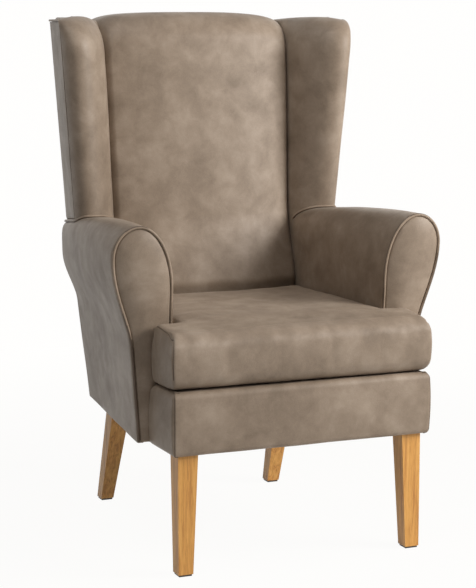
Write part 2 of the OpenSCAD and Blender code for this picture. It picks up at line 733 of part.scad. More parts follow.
module arm_front_board_shape(grow) {
    difference() {
        front_plane_board(arm_pad_t - grow, rail_z - grow, board_y - (grow > 0 ? over : 0),
            board_y + rail_t + grow);
        if (grow == 0) seat_frame_room(frame_room_z);
    }
}
module arm_rear_post_shape(grow) {
    leaning(back_half_w + gap - grow, back_half_w + gap + rail_t + grow,
        rail_top_z + gap - grow, post_top_z + grow, -grow, upright_d + 2 * grow);
}
function rail_end(x, z, y, grow) = let (h = arm_rail_w / 2 + grow, v = rail_t + grow) [
    [x - h, y, z - v], [x - h, y, z + grow], [x + h, y, z + grow], [x + h, y, z - v]];
module arm_top_rail_shape(grow) {
    z_front = arm_top_z - 2 * arm_pad_t;
    x_rear = back_half_w + arm_pad_t / 2 + arm_rail_w / 2;
    y_front = face_y(z_front - rail_t) + board_y + rail_t + gap - grow;
    y_rear = upright_y(post_top_z - rail_t) - gap + grow;
    ladder_skin([
        rail_end(arm_crest_x(0), z_front, y_front, grow),
        rail_end(x_rear, post_top_z, y_rear, grow)]);
}

module arm_front_board() { color(beech) arm_front_board_shape(0); }
module arm_rear_post() { color(beech) arm_rear_post_shape(0); }
module arm_top_rail() { color(beech) arm_top_rail_shape(0); }
module arm_pad() {
    color(leather) difference() {
        ladder_skin(arm_rings(0, 0));
        seat_frame_room(frame_room_z);
        arm_front_board_shape(gap);
        arm_rear_post_shape(gap);
        arm_top_rail_shape(gap);
        foot_pipe_room();
    }
}

// Arm facing: a padded panel inside its piping. Each ring is [drawn in, behind the plane]
facing_edge = 2 * piping_r + gap;
facing_rise_share = 0.6;
module arm_facing() {
    rings = [[facing_edge, facing_t], [facing_edge, piping_r],
        [facing_edge + facing_crown, -facing_crown * facing_rise_share],
        [facing_edge + 4 * facing_crown, -facing_crown]];
    color(leather) difference() {
        ladder_skin([for (r = rings)
            [for (q = arm_outline(0, r[0], base_z)) [q.x, face_y(q.y) + r[1], q.y]]]);
        seat_frame_room(deck_z + gap);
    }
}

arm_pipe_share = 0.8;
module arm_piping() {
    ring = arm_outline(0, piping_r * arm_pipe_share, base_z);
    path = [for (q = ring)
        if (q.x > arm_crest_x(0) || q.y > deck_z + piping_r) [q.x, face_y(q.y) + piping_r, q.y]];
    start = [path[0].x, face_y(deck_z + gap) + piping_r, deck_z + gap];
    color(leather_dark) tube(concat([start], path), piping_r, [0, 1, 0]);
}

// Wings. Their plan section runs from the crease over the nose to the side seam,
// then along the side to the rear. u is the share of the height above the arm
nose_share = 0.67;
inner_power = 1.35;
round_z = wing_top_z - top_round;
// The wing starts inside its cut over the arm, and its top falls by this to each side
wing_low_z = arm_crest_z(1) - arm_round(1) - arm_pad_t;
wing_sag = 7;
function wing_u(z) = (z - arm_top_z) / (wing_top_z - arm_top_z);
function crease_x(z) = back_half_x(z) + 2 * gap;
function crease_y(z) = rear_y(z) - back_depth;
function seam_x(z) = mix(wing_seam_low, wing_seam_high, wing_u(z));
function seam_y(z) = rear_y(z) - mix(wing_side_low, wing_side_high, wing_u(z));
function wing_rear_x(z) = mix(wing_rear_low, wing_rear_high, wing_u(z));
function nose_x(z) = mix(crease_x(z), seam_x(z), nose_share);
function nose_y(z) = seam_y(z) - wing_nose;
function wing_line_x(z, y) =
    mix(seam_x(z), wing_rear_x(z), (y - seam_y(z)) / (rear_y(z) - seam_y(z)));

// The side seam's piping is set in from the surface, and bends over the wing's top
pipe_set_share = 0.6;
pipe_set = piping_r * pipe_set_share;
pipe_bend = top_round - pipe_set;
// Front of the room that the wing leaves for that piping, as y at a height z
function pipe_room_y(z) = let (rise = max(0, z - round_z))
    seam_y(z) + pipe_bend - sqrt(pow(pipe_bend + piping_r + 4 * gap, 2) - rise * rise);

// One ring of the wing: z, how far the front is drawn back there and how far the
// ring has come over the rounded top, from 0 to 1
crease_out_share = 0.3;
crease_back_share = 0.6;
function wing_ring(z, back, turn) = let (
    cx = crease_x(z), cy = crease_y(z), nx = nose_x(z), ny = nose_y(z) + back,
    sy = seam_y(z) + back, sx = wing_line_x(z, sy), ry = inner_rear_y(z),
    cx2 = cx + back * crease_out_share, cy2 = cy + back * crease_back_share,
    out = panel_t + gap,
    room_y = pipe_room_y(z), room_a = asin((sy - room_y) / (sy - ny)),
    mid = (cx + sx) / 2, half = (sx - cx) / 2,
    plan = concat(
        [[cx, ry], [cx, (ry + cy2) / 2], [(cx + cx2) / 2, cy2]],
        [for (a = [10:20:90])
            [nx - (nx - cx2) * pow(cos(a), inner_power), cy2 - (cy2 - ny) * pow(sin(a), inner_power)]],
        [for (k = [1:6]) let (a = mix(90, room_a, k / 6))
            [nx + (sx - nx) * cos(a), sy - (sy - ny) * sin(a)]],
        [[wing_line_x(z, room_y) - out, room_y], [wing_line_x(z, ry) - out, ry]]))
    [for (q = plan) [q.x, q.y, z - wing_sag * turn * pow((q.x - mid) / half, 2)]];

wing_levels = concat([wing_low_z], [for (i = [0:2]) mix(arm_top_z, round_z, i / 3)]);
wing_angles = [0, 20, 40, 60, 75, 90];
module wing_skin() {
    ladder_skin(concat(
        [for (z = wing_levels) wing_ring(z, 0, 0)],
        [for (a = wing_angles)
            wing_ring(round_z + top_round * sin(a), top_round * (1 - cos(a)), 1 - cos(a))]));
}

// Piping up the side seam and back over the top edge
function side_pipe_path() = let (r = pipe_bend, top = round_z + r) concat(
    [for (s = [0, 0.33, 0.66]) let (z = mix(arm_surface_z(wing_seam_low, seam_y(arm_end_z))
        + 5 * piping_r, round_z, s)) [seam_x(z) - pipe_set, seam_y(z), z]],
    [for (a = [0:15:90]) let (z = round_z + r * sin(a), y = seam_y(z) + r * (1 - cos(a)))
        [wing_line_x(z, y) - pipe_set, y, z - wing_sag * (1 - cos(a))]],
    [for (s = [0.5, 1]) let (y = mix(seam_y(top) + r, inner_rear_y(top), s))
        [wing_line_x(top, y) - pipe_set, y, top - wing_sag]]);
foot_pipe_end_y = inner_rear_y(arm_crest_z(1) - arm_pad_t);
// Piping round the wing's foot, lying on the arm, run on past its rear end by a length
function foot_pipe_path(past) = let (
    z0 = arm_end_z,
    plan = concat(
        [for (a = [20:10:90])
            [nose_x(z0) - (nose_x(z0) - crease_x(z0)) * pow(cos(a), inner_power),
             crease_y(z0) - (crease_y(z0) - nose_y(z0)) * pow(sin(a), inner_power)]],
        [for (a = [75:-15:0]) [nose_x(z0) + (seam_x(z0) - nose_x(z0)) * cos(a),
            seam_y(z0) - (seam_y(z0) - nose_y(z0)) * sin(a)]],
        [for (s = [0.25, 0.5, 0.75, 1]) let (y = mix(seam_y(z0), foot_pipe_end_y + past, s))
            [wing_line_x(z0, y), y]]))
    [for (q = plan) [q.x, q.y, arm_surface_z(q.x, q.y) + piping_r + 2 * gap]];

module foot_pipe_room() { tube(foot_pipe_path(over), piping_r + gap, [0, 0, 1]); }

board_low_z = arm_top_z - arm_top_drop / 3;
board_high_z = wing_top_z - top_round / 2;
function side_board_ring(z, grow) = let (
    y_front = seam_y(z) + top_round / 3 - grow, y_rear = inner_rear_y(z) - wing_board_t - gap + grow,
    out = panel_t + 2 * gap - grow)
    [[wing_line_x(z, y_rear) - out - wing_board_t - 2 * grow, y_rear, z],
     [wing_line_x(z, y_front) - out - wing_board_t - 2 * grow, y_front, z],
     [wing_line_x(z, y_front) - out, y_front, z], [wing_line_x(z, y_rear) - out, y_rear, z]];
function rear_board_ring(z, grow) = let (
    y_rear = inner_rear_y(z) + grow, y_front = inner_rear_y(z) - wing_board_t - grow,
    x_out = wing_line_x(z, y_rear) - panel_t - 2 * gap + grow, x_in = crease_x(z) - grow)
    [[x_in, y_rear, z], [x_in, y_front, z], [x_out, y_front, z], [x_out, y_rear, z]];
module wing_side_board_shape(grow) {
    ladder_skin([side_board_ring(board_low_z - grow, grow), side_board_ring(board_high_z + grow, grow)]);
}
module wing_rear_board_shape(grow) {
    ladder_skin([rear_board_ring(board_low_z - grow, grow), rear_board_ring(board_high_z + grow, grow)]);
}
module wing_side_board() { color(beech) wing_side_board_shape(0); }
module wing_rear_board() { color(beech) wing_rear_board_shape(0); }
module wing_pad() {
    color(leather) difference() {
        wing_skin();
        ladder_skin(arm_rings(-gap, over));
        wing_side_board_shape(gap);
        wing_rear_board_shape(gap);
        foot_pipe_room();
    }
}

// The outside wing's front and top edges stop short of the side seam's piping
panel_bend = pipe_bend - piping_r - 3 * gap;
function panel_ring(z, angle) = let (
    y_front = seam_y(z) + pipe_bend - panel_bend * cos(angle), y_rear = inner_rear_y(z),
    z_sag = z - wing_sag * (1 - cos(angle)))
    [[wing_line_x(z, y_rear) - panel_t, y_rear, z_sag],
     [wing_line_x(z, y_front) - panel_t, y_front, z_sag],
     [wing_line_x(z, y_front), y_front, z_sag], [wing_line_x(z, y_rear), y_rear, z_sag]];
module outside_wing() {
    color(leather) difference() {
        ladder_skin(concat(
            [for (z = wing_levels) panel_ring(z, 0)],
            [for (a = wing_angles) panel_ring(round_z + panel_bend * sin(a), a)]));
        ladder_skin(arm_rings(-gap, over));
        foot_pipe_room();
    }
}
module wing_piping() { color(leather_dark) tube(side_pipe_path(), piping_r, [1, 0, 0]); }
module wing_foot_piping() { color(leather_dark) tube(foot_pipe_path(0), piping_r, [0, 0, 1]); }

// Outside back: a panel over the rear of the arms, the wings and the frame
back_top_shares = [1, 0.9, 0.75, 0.5, 0.15];
roll_angles = [0, 18, 36, 54];
module outside_back() {
    side = [for (s = side_shares) let (z = mix(base_z, arm_roll_z(1), s)) [arm_side_x(1, z), z]];
    roll = [for (a = roll_angles) [
        arm_crest_x(1) + (arm_roll_x(1) - arm_crest_x(1)) * pow(cos(a), square_share),
        arm_roll_z(1) + (arm_crest_z(1) - arm_roll_z(1)) * pow(sin(a), square_share)]];
    wing = [for (s = [0.02, 0.5, 0.9]) let (z = mix(arm_crest_z(1), wing_top_z, s))
        [wing_rear_x(z), z]];
    corner = [[wing_rear_high - wing_sag, wing_top_z - 2 * wing_sag],
        [wing_rear_high - 3 * wing_sag, wing_top_z - wing_sag - gap]];
    arch = [for (s = back_top_shares) [s * back_half_x(wing_top_z), back_top(s) - wing_sag]];
    right = concat(side, roll, wing, corner, arch);
    left = [for (i = [len(right) - 1:-1:0]) [-right[i].x, right[i].y]];
    color(leather) ladder_skin([for (y = [-panel_t, 0])
        [for (q = concat(right, left)) [q.x, rear_y(q.y) + y, q.y]]]);
}

mirrored(-1) front_leg();  // front_leg_left
mirrored(1) front_leg();  // front_leg_right
mirrored(-1) rear_leg();  // rear_leg_left
mirrored(1) rear_leg();  // rear_leg_right
leg_glides();
leg_bolts();
leg_nuts();
dust_cover();
seat_front_rail();
seat_back_rail();
mirrored(-1) seat_side_rail();  // seat_side_rail_left
mirrored(1) seat_side_rail();  // seat_side_rail_right
corner_blocks();
seat_webbing();
seat_platform();
front_border();
seat_cushion_cover();
seat_cushion_foam();
mirrored(-1) back_upright();  // back_upright_left
mirrored(1) back_upright();  // back_upright_right
back_top_rail();
back_lower_rail();
back_webbing();
inside_back();
outside_back();
mirrored(-1) arm_front_board();  // arm_front_board_left
mirrored(1) arm_front_board();  // arm_front_board_right
mirrored(-1) arm_rear_post();  // arm_rear_post_left
mirrored(1) arm_rear_post();  // arm_rear_post_right
mirrored(-1) arm_top_rail();  // arm_top_rail_left
mirrored(1) arm_top_rail();  // arm_top_rail_right
mirrored(-1) arm_pad();  // arm_pad_left
mirrored(1) arm_pad();  // arm_pad_right
mirrored(-1) arm_facing();  // arm_facing_left
mirrored(1) arm_facing();  // arm_facing_right
mirrored(-1) arm_piping();  // arm_piping_left
mirrored(1) arm_piping();  // arm_piping_right
mirrored(-1) wing_pad();  // wing_pad_left
mirrored(1) wing_pad();  // wing_pad_right
mirrored(-1) wing_side_board();  // wing_side_board_left
mirrored(1) wing_side_board();  // wing_side_board_right
mirrored(-1) wing_rear_board();  // wing_rear_board_left
mirrored(1) wing_rear_board();  // wing_rear_board_right
mirrored(-1) outside_wing();  // outside_wing_left
mirrored(1) outside_wing();  // outside_wing_right
mirrored(-1) wing_piping();  // wing_piping_left
mirrored(1) wing_piping();  // wing_piping_right
mirrored(-1) wing_foot_piping();  // wing_foot_piping_left
mirrored(1) wing_foot_piping();  // wing_foot_piping_right
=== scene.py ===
import json
from math import asin, cos, pi, radians, sin, sqrt, tan

import bmesh
import bpy
import numpy as np
from mathutils import Euler, Matrix, Vector, noise
from mathutils.kdtree import KDTree


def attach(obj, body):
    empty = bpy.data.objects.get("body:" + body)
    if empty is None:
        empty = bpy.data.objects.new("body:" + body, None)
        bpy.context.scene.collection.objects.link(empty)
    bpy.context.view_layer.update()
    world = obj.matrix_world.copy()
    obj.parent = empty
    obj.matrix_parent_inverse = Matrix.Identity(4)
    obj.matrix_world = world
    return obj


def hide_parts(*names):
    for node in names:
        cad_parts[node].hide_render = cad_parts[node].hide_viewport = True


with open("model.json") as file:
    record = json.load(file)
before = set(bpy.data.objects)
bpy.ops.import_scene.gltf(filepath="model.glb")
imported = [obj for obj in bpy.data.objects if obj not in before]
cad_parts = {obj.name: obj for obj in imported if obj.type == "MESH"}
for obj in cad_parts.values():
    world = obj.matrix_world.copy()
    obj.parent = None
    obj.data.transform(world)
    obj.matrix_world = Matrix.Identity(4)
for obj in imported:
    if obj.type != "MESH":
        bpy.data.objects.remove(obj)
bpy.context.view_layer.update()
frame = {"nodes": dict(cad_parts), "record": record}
print("stage: frame loaded")

# The chair's main sizes, in millimetres, as the CAD has them
chair = {
    "baseZ": 244, "deckZ": 372, "armTopZ": 686, "wingTopZ": 1093, "topZ": 1103,
    "frontY": -350, "rearY": 350, "armFaceY": -205,
    "backLean": 4.75, "armLean": 4.15, "sideLean": 5.25,
    "panel": 6.3, "piping": 3.0, "seatHalf": 285, "backing": 3,
}
tanBack = tan(radians(chair["backLean"]))
tanArm = tan(radians(chair["armLean"]))
tanSide = tan(radians(chair["sideLean"]))


def mix(a, b, t):
    return a + (b - a) * t


def smooth(t):
    t = np.clip(t, 0, 1)
    return t * t * (3 - 2 * t)


def faceY(z):
    return chair["armFaceY"] - (z - chair["baseZ"]) * tanArm


def rearY(z):
    return chair["rearY"] - (chair["topZ"] - z) * tanBack


def innerRearY(z):
    return rearY(z) - chair["panel"]


def addObject(name, data):
    obj = bpy.data.objects.new(name, data)
    bpy.context.scene.collection.objects.link(obj)
    return obj


# Mesh helpers. Points are in millimetres, and objects in metres
def makeObject(name, points, faces, side=0):
    # a piece of one side is drawn as the right one, and mirrored for the left
    co = np.array(points, float) * 0.001
    if side < 0:
        co[:, 0] *= -1
        faces = [tuple(reversed(f)) for f in faces]
    name += ("Left", "", "Right")[side + 1]
    mesh = bpy.data.meshes.new(name)
    mesh.from_pydata(co.tolist(), [], [tuple(int(i) for i in f) for f in faces])
    mesh.validate()
    mesh.shade_smooth()
    return addObject(name, mesh)


def evenNormals(obj):
    work = bmesh.new()
    work.from_mesh(obj.data)
    bmesh.ops.recalc_face_normals(work, faces=work.faces)
    work.to_mesh(obj.data)
    work.free()


def turnOutward(obj):
    evenNormals(obj)
    mesh = obj.data
    mesh.calc_loop_triangles()
    volume = 0
    for t in mesh.loop_triangles:
        a, b, c = (mesh.vertices[i].co for i in t.vertices)
        volume += a.dot(b.cross(c))
    if volume < 0:
        mesh.flip_normals()
    return obj


def turnToward(obj, x, y):
    evenNormals(obj)
    facing = 0
    for p in obj.data.polygons:
        outward = x if p.center.x > 0 else -x
        facing += (p.normal.x * outward + p.normal.y * y) * p.area
    if facing < 0:
        obj.data.flip_normals()
    return obj


def gridFaces(rows, columns, closed=False):
    faces = []
    for r in range(rows - 1):
        for c in range(columns if closed else columns - 1):
            a, b = r * columns + c, r * columns + (c + 1) % columns
            faces.append((a, b, b + columns, a + columns))
    return faces


def gridObject(name, rows, side=0, closed=False):
    points = [p for row in rows for p in row]
    return makeObject(name, points, gridFaces(len(rows), len(rows[0]), closed), side)


def grid(lines, columns, point):
    return [[point(line, column) for column in columns] for line in lines]


def resample(path, count):
    # even steps along a polyline
    path = np.array(path, float)
    steps = np.r_[0, np.cumsum(np.linalg.norm(np.diff(path, axis=0), axis=1))]
    at = np.linspace(0, steps[-1], count)
    return np.stack([np.interp(at, steps, path[:, k]) for k in range(path.shape[1])], 1)


def addBacking(obj):
    solid = obj.modifiers.new("back", "SOLIDIFY")
    solid.thickness, solid.offset = chair["backing"] * 0.001, -1
    return obj


def darken(obj, chosen):
    # the chosen faces take the piece's second, darker material: painted shade
    for poly in obj.data.polygons:
        if chosen(poly):
            poly.material_index = 1
    return obj


def standOut(away, pad):
    # how far a padded panel stands out at a distance from its edge
    puff = pad["puff"] * (1 - (1 - min(1, away / pad["reach"])) ** 2)
    return puff - pad["drop"] * max(0, 1 - away / pad["edge"]) ** 2


cordSides = 12


def tube(name, path, radius, side):
    path = np.array(path, float)
    points = []
    up = np.array([0.0, 0.0, 1.0])
    for i in range(len(path)):
        along = path[min(i + 1, len(path) - 1)] - path[max(i - 1, 0)]
        along /= np.linalg.norm(along)
        u = up - along * up.dot(along)
        if np.linalg.norm(u) < 0.05:
            u = np.array([0.0, 1.0, 0.0]) - along * along[1]
        u /= np.linalg.norm(u)
        up = u
        v = np.cross(along, u)
        points += [path[i] + radius * (cos(a) * u + sin(a) * v)
                   for a in np.linspace(0, 2 * pi, cordSides, endpoint=False)]
    faces = gridFaces(len(path), cordSides, True)
    faces += [tuple(range(cordSides)), tuple(range(len(points) - cordSides, len(points)))]
    return turnOutward(makeObject(name, points, faces, side))


# Shapes shared by the arm's pieces
arm = {
    "setback": 8.3, "innerFront": 235, "innerRear": 205, "innerLeast": 212.3,
    "footFront": 303, "footRear": 247, "rollFront": 363, "rollRear": 298, "bow": 8,
    "rollZFront": 378, "rollZRear": 331, "neck": 182, "neckShare": 0.6, "crest": 0.575,
    "drop": 45, "round": 128, "roundShare": 0.36, "square": 0.4, "edge": 4, "hem": 14,
    "counts": (26, 26, 30, 40), "innerLow": 300, "start": 10,
    "lips": ((6.4, 6.5), (5.6, 4.2), (5.8, 2.2), (7.2, 0.9), (10, 0.2)),
    "rearLips": ((-4, 0.3), (-2.4, 1.4), (-1.8, 3.4), (-3.4, 6)),
}


def armRollX(t):
    return mix(arm["rollFront"], arm["rollRear"], t) + 4 * arm["bow"] * t * (1 - t)


def armRollZ(t):
    return chair["baseZ"] + mix(arm["rollZFront"], arm["rollZRear"], t)


def armInnerX(t):
    return max(arm["innerLeast"], mix(arm["innerFront"], arm["innerRear"], t))


def armCrestX(t):
    return mix(armInnerX(t), armRollX(t), arm["crest"])


def armCrestZ(t):
    return chair["armTopZ"] - arm["drop"] * t * t


def armSideX(t, z):
    neck = arm["neck"] * mix(1, arm["neckShare"], t)
    low = mix(arm["footFront"], arm["footRear"], t) + (z - chair["baseZ"]) * tanSide
    return mix(low, armRollX(t), smooth((z - armRollZ(t) + neck) / neck))


def armOutline(t, counts, lowIn, lowOut):
    # inner side, over the roll and down the outer side, as (x, z)
    p = mix(1, arm["square"], t)
    xIn, xTop, xOut = armInnerX(t), armCrestX(t), armRollX(t)
    zTop, zOut = armCrestZ(t), armRollZ(t)
    zIn = zTop - mix(1, arm["roundShare"], t) * arm["round"]
    sweep = pi / 4 * (1 - np.cos(np.linspace(0, pi, 300)))
    c, s = np.cos(sweep).clip(0, 1) ** p, np.sin(sweep).clip(0, 1) ** p
    inner = np.stack([xTop - (xTop - xIn) * c, zIn + (zTop - zIn) * s], 1)
    outer = np.stack([xTop + (xOut - xTop) * c, zOut + (zTop - zOut) * s], 1)[::-1]
    edge = arm["edge"]
    side = [[armSideX(t, z), z] for z in np.linspace(zOut, lowOut + edge, 200)]
    foot = side[-1][0]
    turn = [[foot - edge * (1 - cos(a)), lowOut + edge * (1 - sin(a))]
            for a in np.radians([30, 60, 90])]
    turn += [[foot - arm["hem"], lowOut], [foot - arm["hem"] - 2, lowOut + 6]]
    return np.concatenate([
        resample([[xIn, lowIn], [xIn, zIn]], counts[0])[:-1],
        resample(inner, counts[1])[:-1],
        resample(outer, counts[2])[:-1],
        resample(side, counts[3]),
        np.array(turn)])


outlineTurn = 5  # the points at the end of an arm's outline that turn under its foot


def drawnIn(loop, d):
    # a 2-D path moved to its right-hand side by d, for an outline that runs clockwise
    ahead = np.roll(loop, -1, 0)
    behind = np.roll(loop, 1, 0)
    ahead[-1], behind[0] = loop[-1], loop[0]
    along = ahead - behind
    along /= np.linalg.norm(along, axis=1)[:, None]
    return loop + d * np.stack([along[:, 1], -along[:, 0]], 1)


def armSurfaceZ(x, y):
    endZ = chair["armTopZ"] - arm["drop"] / 2
    start = faceY(endZ) + arm["setback"]
    t = min(1, (y - start) / (innerRearY(endZ) - start))
    p = mix(1, arm["square"], t)
    outer = x > armCrestX(t)
    half = armRollX(t) - armCrestX(t) if outer else armCrestX(t) - armInnerX(t)
    low = armRollZ(t) if outer else armCrestZ(t) - mix(1, arm["roundShare"], t) * arm["round"]
    q = min(1, abs(x - armCrestX(t)) / half)
    return low + (armCrestZ(t) - low) * (1 - q ** (2 / p)) ** (p / 2)


def soften(obj, size, depth, seed):
    # slow unevenness of stuffed padding under a close cover
    mesh = obj.data
    normals = [v.normal.copy() for v in mesh.vertices]
    shift = Vector((seed * 3.7, seed * 1.3, seed * 2.1))
    for v, n in zip(mesh.vertices, normals):
        v.co += n * depth * 0.001 * noise.noise(v.co * (1000 / size) + shift)
    mesh.update()


def smoothHigh(obj, z, passes):
    work = bmesh.new()
    work.from_mesh(obj.data)
    high = [v for v in work.verts if v.co.z * 1000 > z]
    for _ in range(passes):
        bmesh.ops.smooth_vert(work, verts=high, factor=0.5,
                              use_axis_x=True, use_axis_y=True, use_axis_z=True)
    work.to_mesh(obj.data)
    work.free()


def armCover(side):
    def ring(t, inset, atY):
        loop = armOutline(t, arm["counts"], arm["innerLow"], chair["baseZ"])
        return [(x, atY(z), z) for x, z in (drawnIn(loop, inset) if inset else loop)]

    rings = [ring(0, inset, lambda z: faceY(z) + y) for y, inset in arm["lips"]]
    rings += [ring(t, 0, lambda z: mix(faceY(z) + arm["start"], innerRearY(z), t))
              for t in np.linspace(0, 1, 72)[1:]]
    rings += [ring(1, inset, lambda z: rearY(z) + y) for y, inset in arm["rearLips"]]
    return turnOutward(gridObject("armCover", rings, side, True))


frontPad = {
    "inset": 4.4, "setIn": 3.2, "width": 56, "power": 2.6, "drop": 4.5, "edge": 3.4,
    "crownLow": 5, "crownHigh": 9, "crownFrom": 495, "crownOver": 70,
    "rungs": (0, 0.5, 1.5, 3.5, 7, 12, 19, 28, 39, 50, 61, 72, 81, 88, 93, 96.5, 98.5, 99.5, 100),
}


def facing(side):
    # padded panel inside its piping: rungs from the inner edge to the outer one
    pad, low = frontPad, chair["baseZ"] + 1
    edge = drawnIn(armOutline(0, (40, 44, 44, 70), low, low)[:-outlineTurn], pad["inset"])

    def padPoint(ends, u):
        q = ends[0] + (ends[1] - ends[0]) * u
        gap = np.sqrt(((edge - q) ** 2).sum(1)).min()
        rise = 1 - (1 - min(1, gap / pad["width"])) ** pad["power"]
        drop = max(0, 1 - gap / pad["edge"]) ** 2 * pad["drop"]
        share = smooth((q[1] - pad["crownFrom"]) / pad["crownOver"])
        crown = mix(pad["crownLow"], pad["crownHigh"], share)
        y = faceY(q[1]) + pad["setIn"] + drop - (pad["setIn"] + crown) * rise
        return q[0], y, q[1]

    rows = grid(zip(edge[:len(edge) // 2], edge[::-1]), np.array(pad["rungs"]) / 100, padPoint)
    return addBacking(turnToward(gridObject("armFacing", rows, side), 0, -1))


armCord = {"inset": 2.4, "setIn": 3, "middleX": 0.295, "middleZ": 0.5, "fade": 0.08,
           "fromLeft": 0.52, "fromRight": 0.66, "turnedHigh": 0.6, "turnedLow": -0.3}


def armPiping(side):
    loop = armOutline(0, (60, 50, 50, 90), chair["deckZ"], chair["baseZ"])[:-outlineTurn]
    path = [(x, faceY(z) + armCord["setIn"], z) for x, z in drawnIn(loop, armCord["inset"])]
    middle = Vector((side * armCord["middleX"], 0, armCord["middleZ"]))
    start = armCord["fromLeft"] if side < 0 else armCord["fromRight"]

    def inShade(poly):
        # the cord's outer side is given painted shade, for the seam's shadow it lies in, most so
        # where it runs down
        out = poly.center - middle
        out.y = 0
        down = smooth((start - poly.center.z) / armCord["fade"]) if side * out.x > 0 else 0
        turned = mix(armCord["turnedHigh"], armCord["turnedLow"], down)
        return poly.normal.dot(out.normalized()) > turned

    return darken(tube("armPiping", path, chair["piping"], side), inShade)


# Wings
wing = {
    "creaseHalf": 212.6, "flare": 9, "backDepth": 117, "seamLow": 310, "seamHigh": 343,
    "sideLow": 139, "sideHigh": 193, "rearLow": 288, "rearHigh": 307, "nose": 42,
    "noseShare": 0.67, "power": 1.35, "round": 38, "noseRound": 78, "sag": 7, "lowZ": 600,
    "edge": 7, "pipeSet": 1.8, "shoulder": 0.72, "ease": 40, "footZ": 663, "heelZ": 627,
    "creaseBack": 0.6, "creaseOut": 0.3, "creaseBend": 14, "cordRoom": 3.4, "capReach": 9,
    "capSteps": 9, "capPasses": 12, "cordLift": 0.4, "cordThin": 0.8, "cordStart": 5,
}
roundZ = chair["wingTopZ"] - wing["round"]


def wingShare(z):
    return (z - chair["armTopZ"]) / (chair["wingTopZ"] - chair["armTopZ"])


def creaseX(z):
    return wing["creaseHalf"] + wing["flare"] * min(1, max(0, wingShare(z)))


def creaseY(z):
    return rearY(z) - wing["backDepth"]


def seamX(z):
    return mix(wing["seamLow"], wing["seamHigh"], wingShare(z))


def seamY(z):
    return rearY(z) - mix(wing["sideLow"], wing["sideHigh"], wingShare(z))


def noseX(z):
    return mix(creaseX(z), seamX(z), wing["noseShare"])


def noseY(z):
    return seamY(z) - wing["nose"]


def wingLineX(z, y):
    rear = mix(wing["rearLow"], wing["rearHigh"], wingShare(z))
    return mix(seamX(z), rear, (y - seamY(z)) / (rearY(z) - seamY(z)))


def drawnBack(z, reach):
    # how far the rounded top has drawn in at a height
    rise = max(0, z - (chair["wingTopZ"] - reach))
    return reach - sqrt(max(0, reach ** 2 - rise ** 2))


def noseLine(crease, nose, seam, inner, outer):
    # the wing's rounded front, from the crease over the nose to the seam, as (x, y)
    (cx, cy), (nx, ny), (sx, sy) = crease, nose, seam
    p, q = wing["power"], wing["shoulder"]
    line = [(nx - (nx - cx) * cos(a) ** p, cy - (cy - ny) * sin(a) ** p) for a in inner]
    line += [(nx + (sx - nx) * max(0, cos(a)) ** q, sy - (sy - ny) * sin(a) ** q)
             for a in outer]
    return line


def wingRing(z):
    bend = wing["round"] - wing["pipeSet"]
    edge = drawnBack(z, wing["edge"])
    atNose, atSeam = drawnBack(z, wing["noseRound"]), drawnBack(z, wing["round"])
    cx, cy = creaseX(z) + edge, creaseY(z) + atNose * wing["creaseBack"]
    nx, ny = noseX(z), noseY(z) + atNose
    sy = seamY(z) + atSeam
    sx, ry = wingLineX(z, sy), innerRearY(z)
    cx2, bendY = cx + atNose * wing["creaseOut"], cy + wing["creaseBend"]
    rise = max(0, z - roundZ)
    # the cover stops short of the seam, where the cord lies
    roomY = seamY(z) + bend - sqrt((bend + wing["cordRoom"]) ** 2 - rise * rise)
    last = asin(min(0.97, (sy - roomY) / max(1, sy - ny)) ** (1 / wing["shoulder"]))
    plan = [(cx, y) for y in np.linspace(ry, bendY, 9)]
    plan += [(mix(cx, cx2, k) + 0.6 * (1 - k), mix(bendY, cy, k)) for k in (0.35, 0.7, 1)]
    nose = np.array(noseLine((cx2, cy), (nx, ny), (sx, sy), np.radians(np.linspace(4, 90, 26)),
                             np.linspace(pi / 2, last, 30)[1:]))
    for _ in range(wing["ease"]):
        nose[1:-1] = (nose[:-2] + 2 * nose[1:-1] + nose[2:]) / 4
    plan += [tuple(p) for p in nose]
    plan += [(wingLineX(z, roomY) - k, roomY + 0.8) for k in (1.5, 5)]
    plan += [(wingLineX(z, y) - chair["panel"] - edge, y) for y in np.linspace(roomY + 3, ry, 12)]
    mid, half = (cx + sx) / 2, (sx - cx) / 2
    turn = atSeam / wing["round"]
    return [(x, y, z - wing["sag"] * turn * ((x - mid) / half) ** 2) for x, y in plan]


def wingCover(side):
    reach, top = wing["noseRound"], chair["wingTopZ"]
    rings = [wingRing(z) for z in np.linspace(wing["lowZ"], top - reach, 56)]
    rings += [wingRing(top - reach * (1 - sin(a)))
              for a in np.radians(np.r_[np.linspace(3, 80, 30), 83, 86, 88, 90])]
    n = len(rings[0])
    points = [p for r in rings for p in r]
    faces = gridFaces(len(rings), n, True)
    # the crowned top: rungs between the two halves of the last ring
    first = (len(rings) - 1) * n
    steps = wing["capSteps"]
    rows = []
    for i in range(n // 2):
        a, b = first + i, first + n - 1 - i
        pa, pb = np.array(points[a]), np.array(points[b])
        row = [a]
        for k in range(1, steps):
            u = k / steps
            q = pa + (pb - pa) * u
            q[2] = mix(pa[2], pb[2], u) + (top - max(pa[2], pb[2])) * 4 * u * (1 - u)
            points.append(tuple(q))
            row.append(len(points) - 1)
        rows.append(row + [b])
    for r0, r1 in zip(rows, rows[1:]):
        faces += [(r0[k], r0[k + 1], r1[k + 1], r1[k]) for k in range(steps)]
    obj = turnOutward(makeObject("wing", points, faces, side))
    smoothHigh(obj, top - wing["capReach"], wing["capPasses"])
    return obj


def edgeSpread(length, close=(0, 0.8, 2, 4, 7.5), step=12):
    inner = np.linspace(close[-1], length - close[-1], max(3, int(length / step)))
    return np.r_[close[:-1], inner, [length - c for c in reversed(close[:-1])]]


sidePanel = {"gap": 3.9, "lowZ": 660, "rear": 4.2, "setIn": 1.4, "footRows": 8, "footGap": 1,
             "puff": 2.2, "reach": 45, "drop": 3.2, "edge": 3.4}


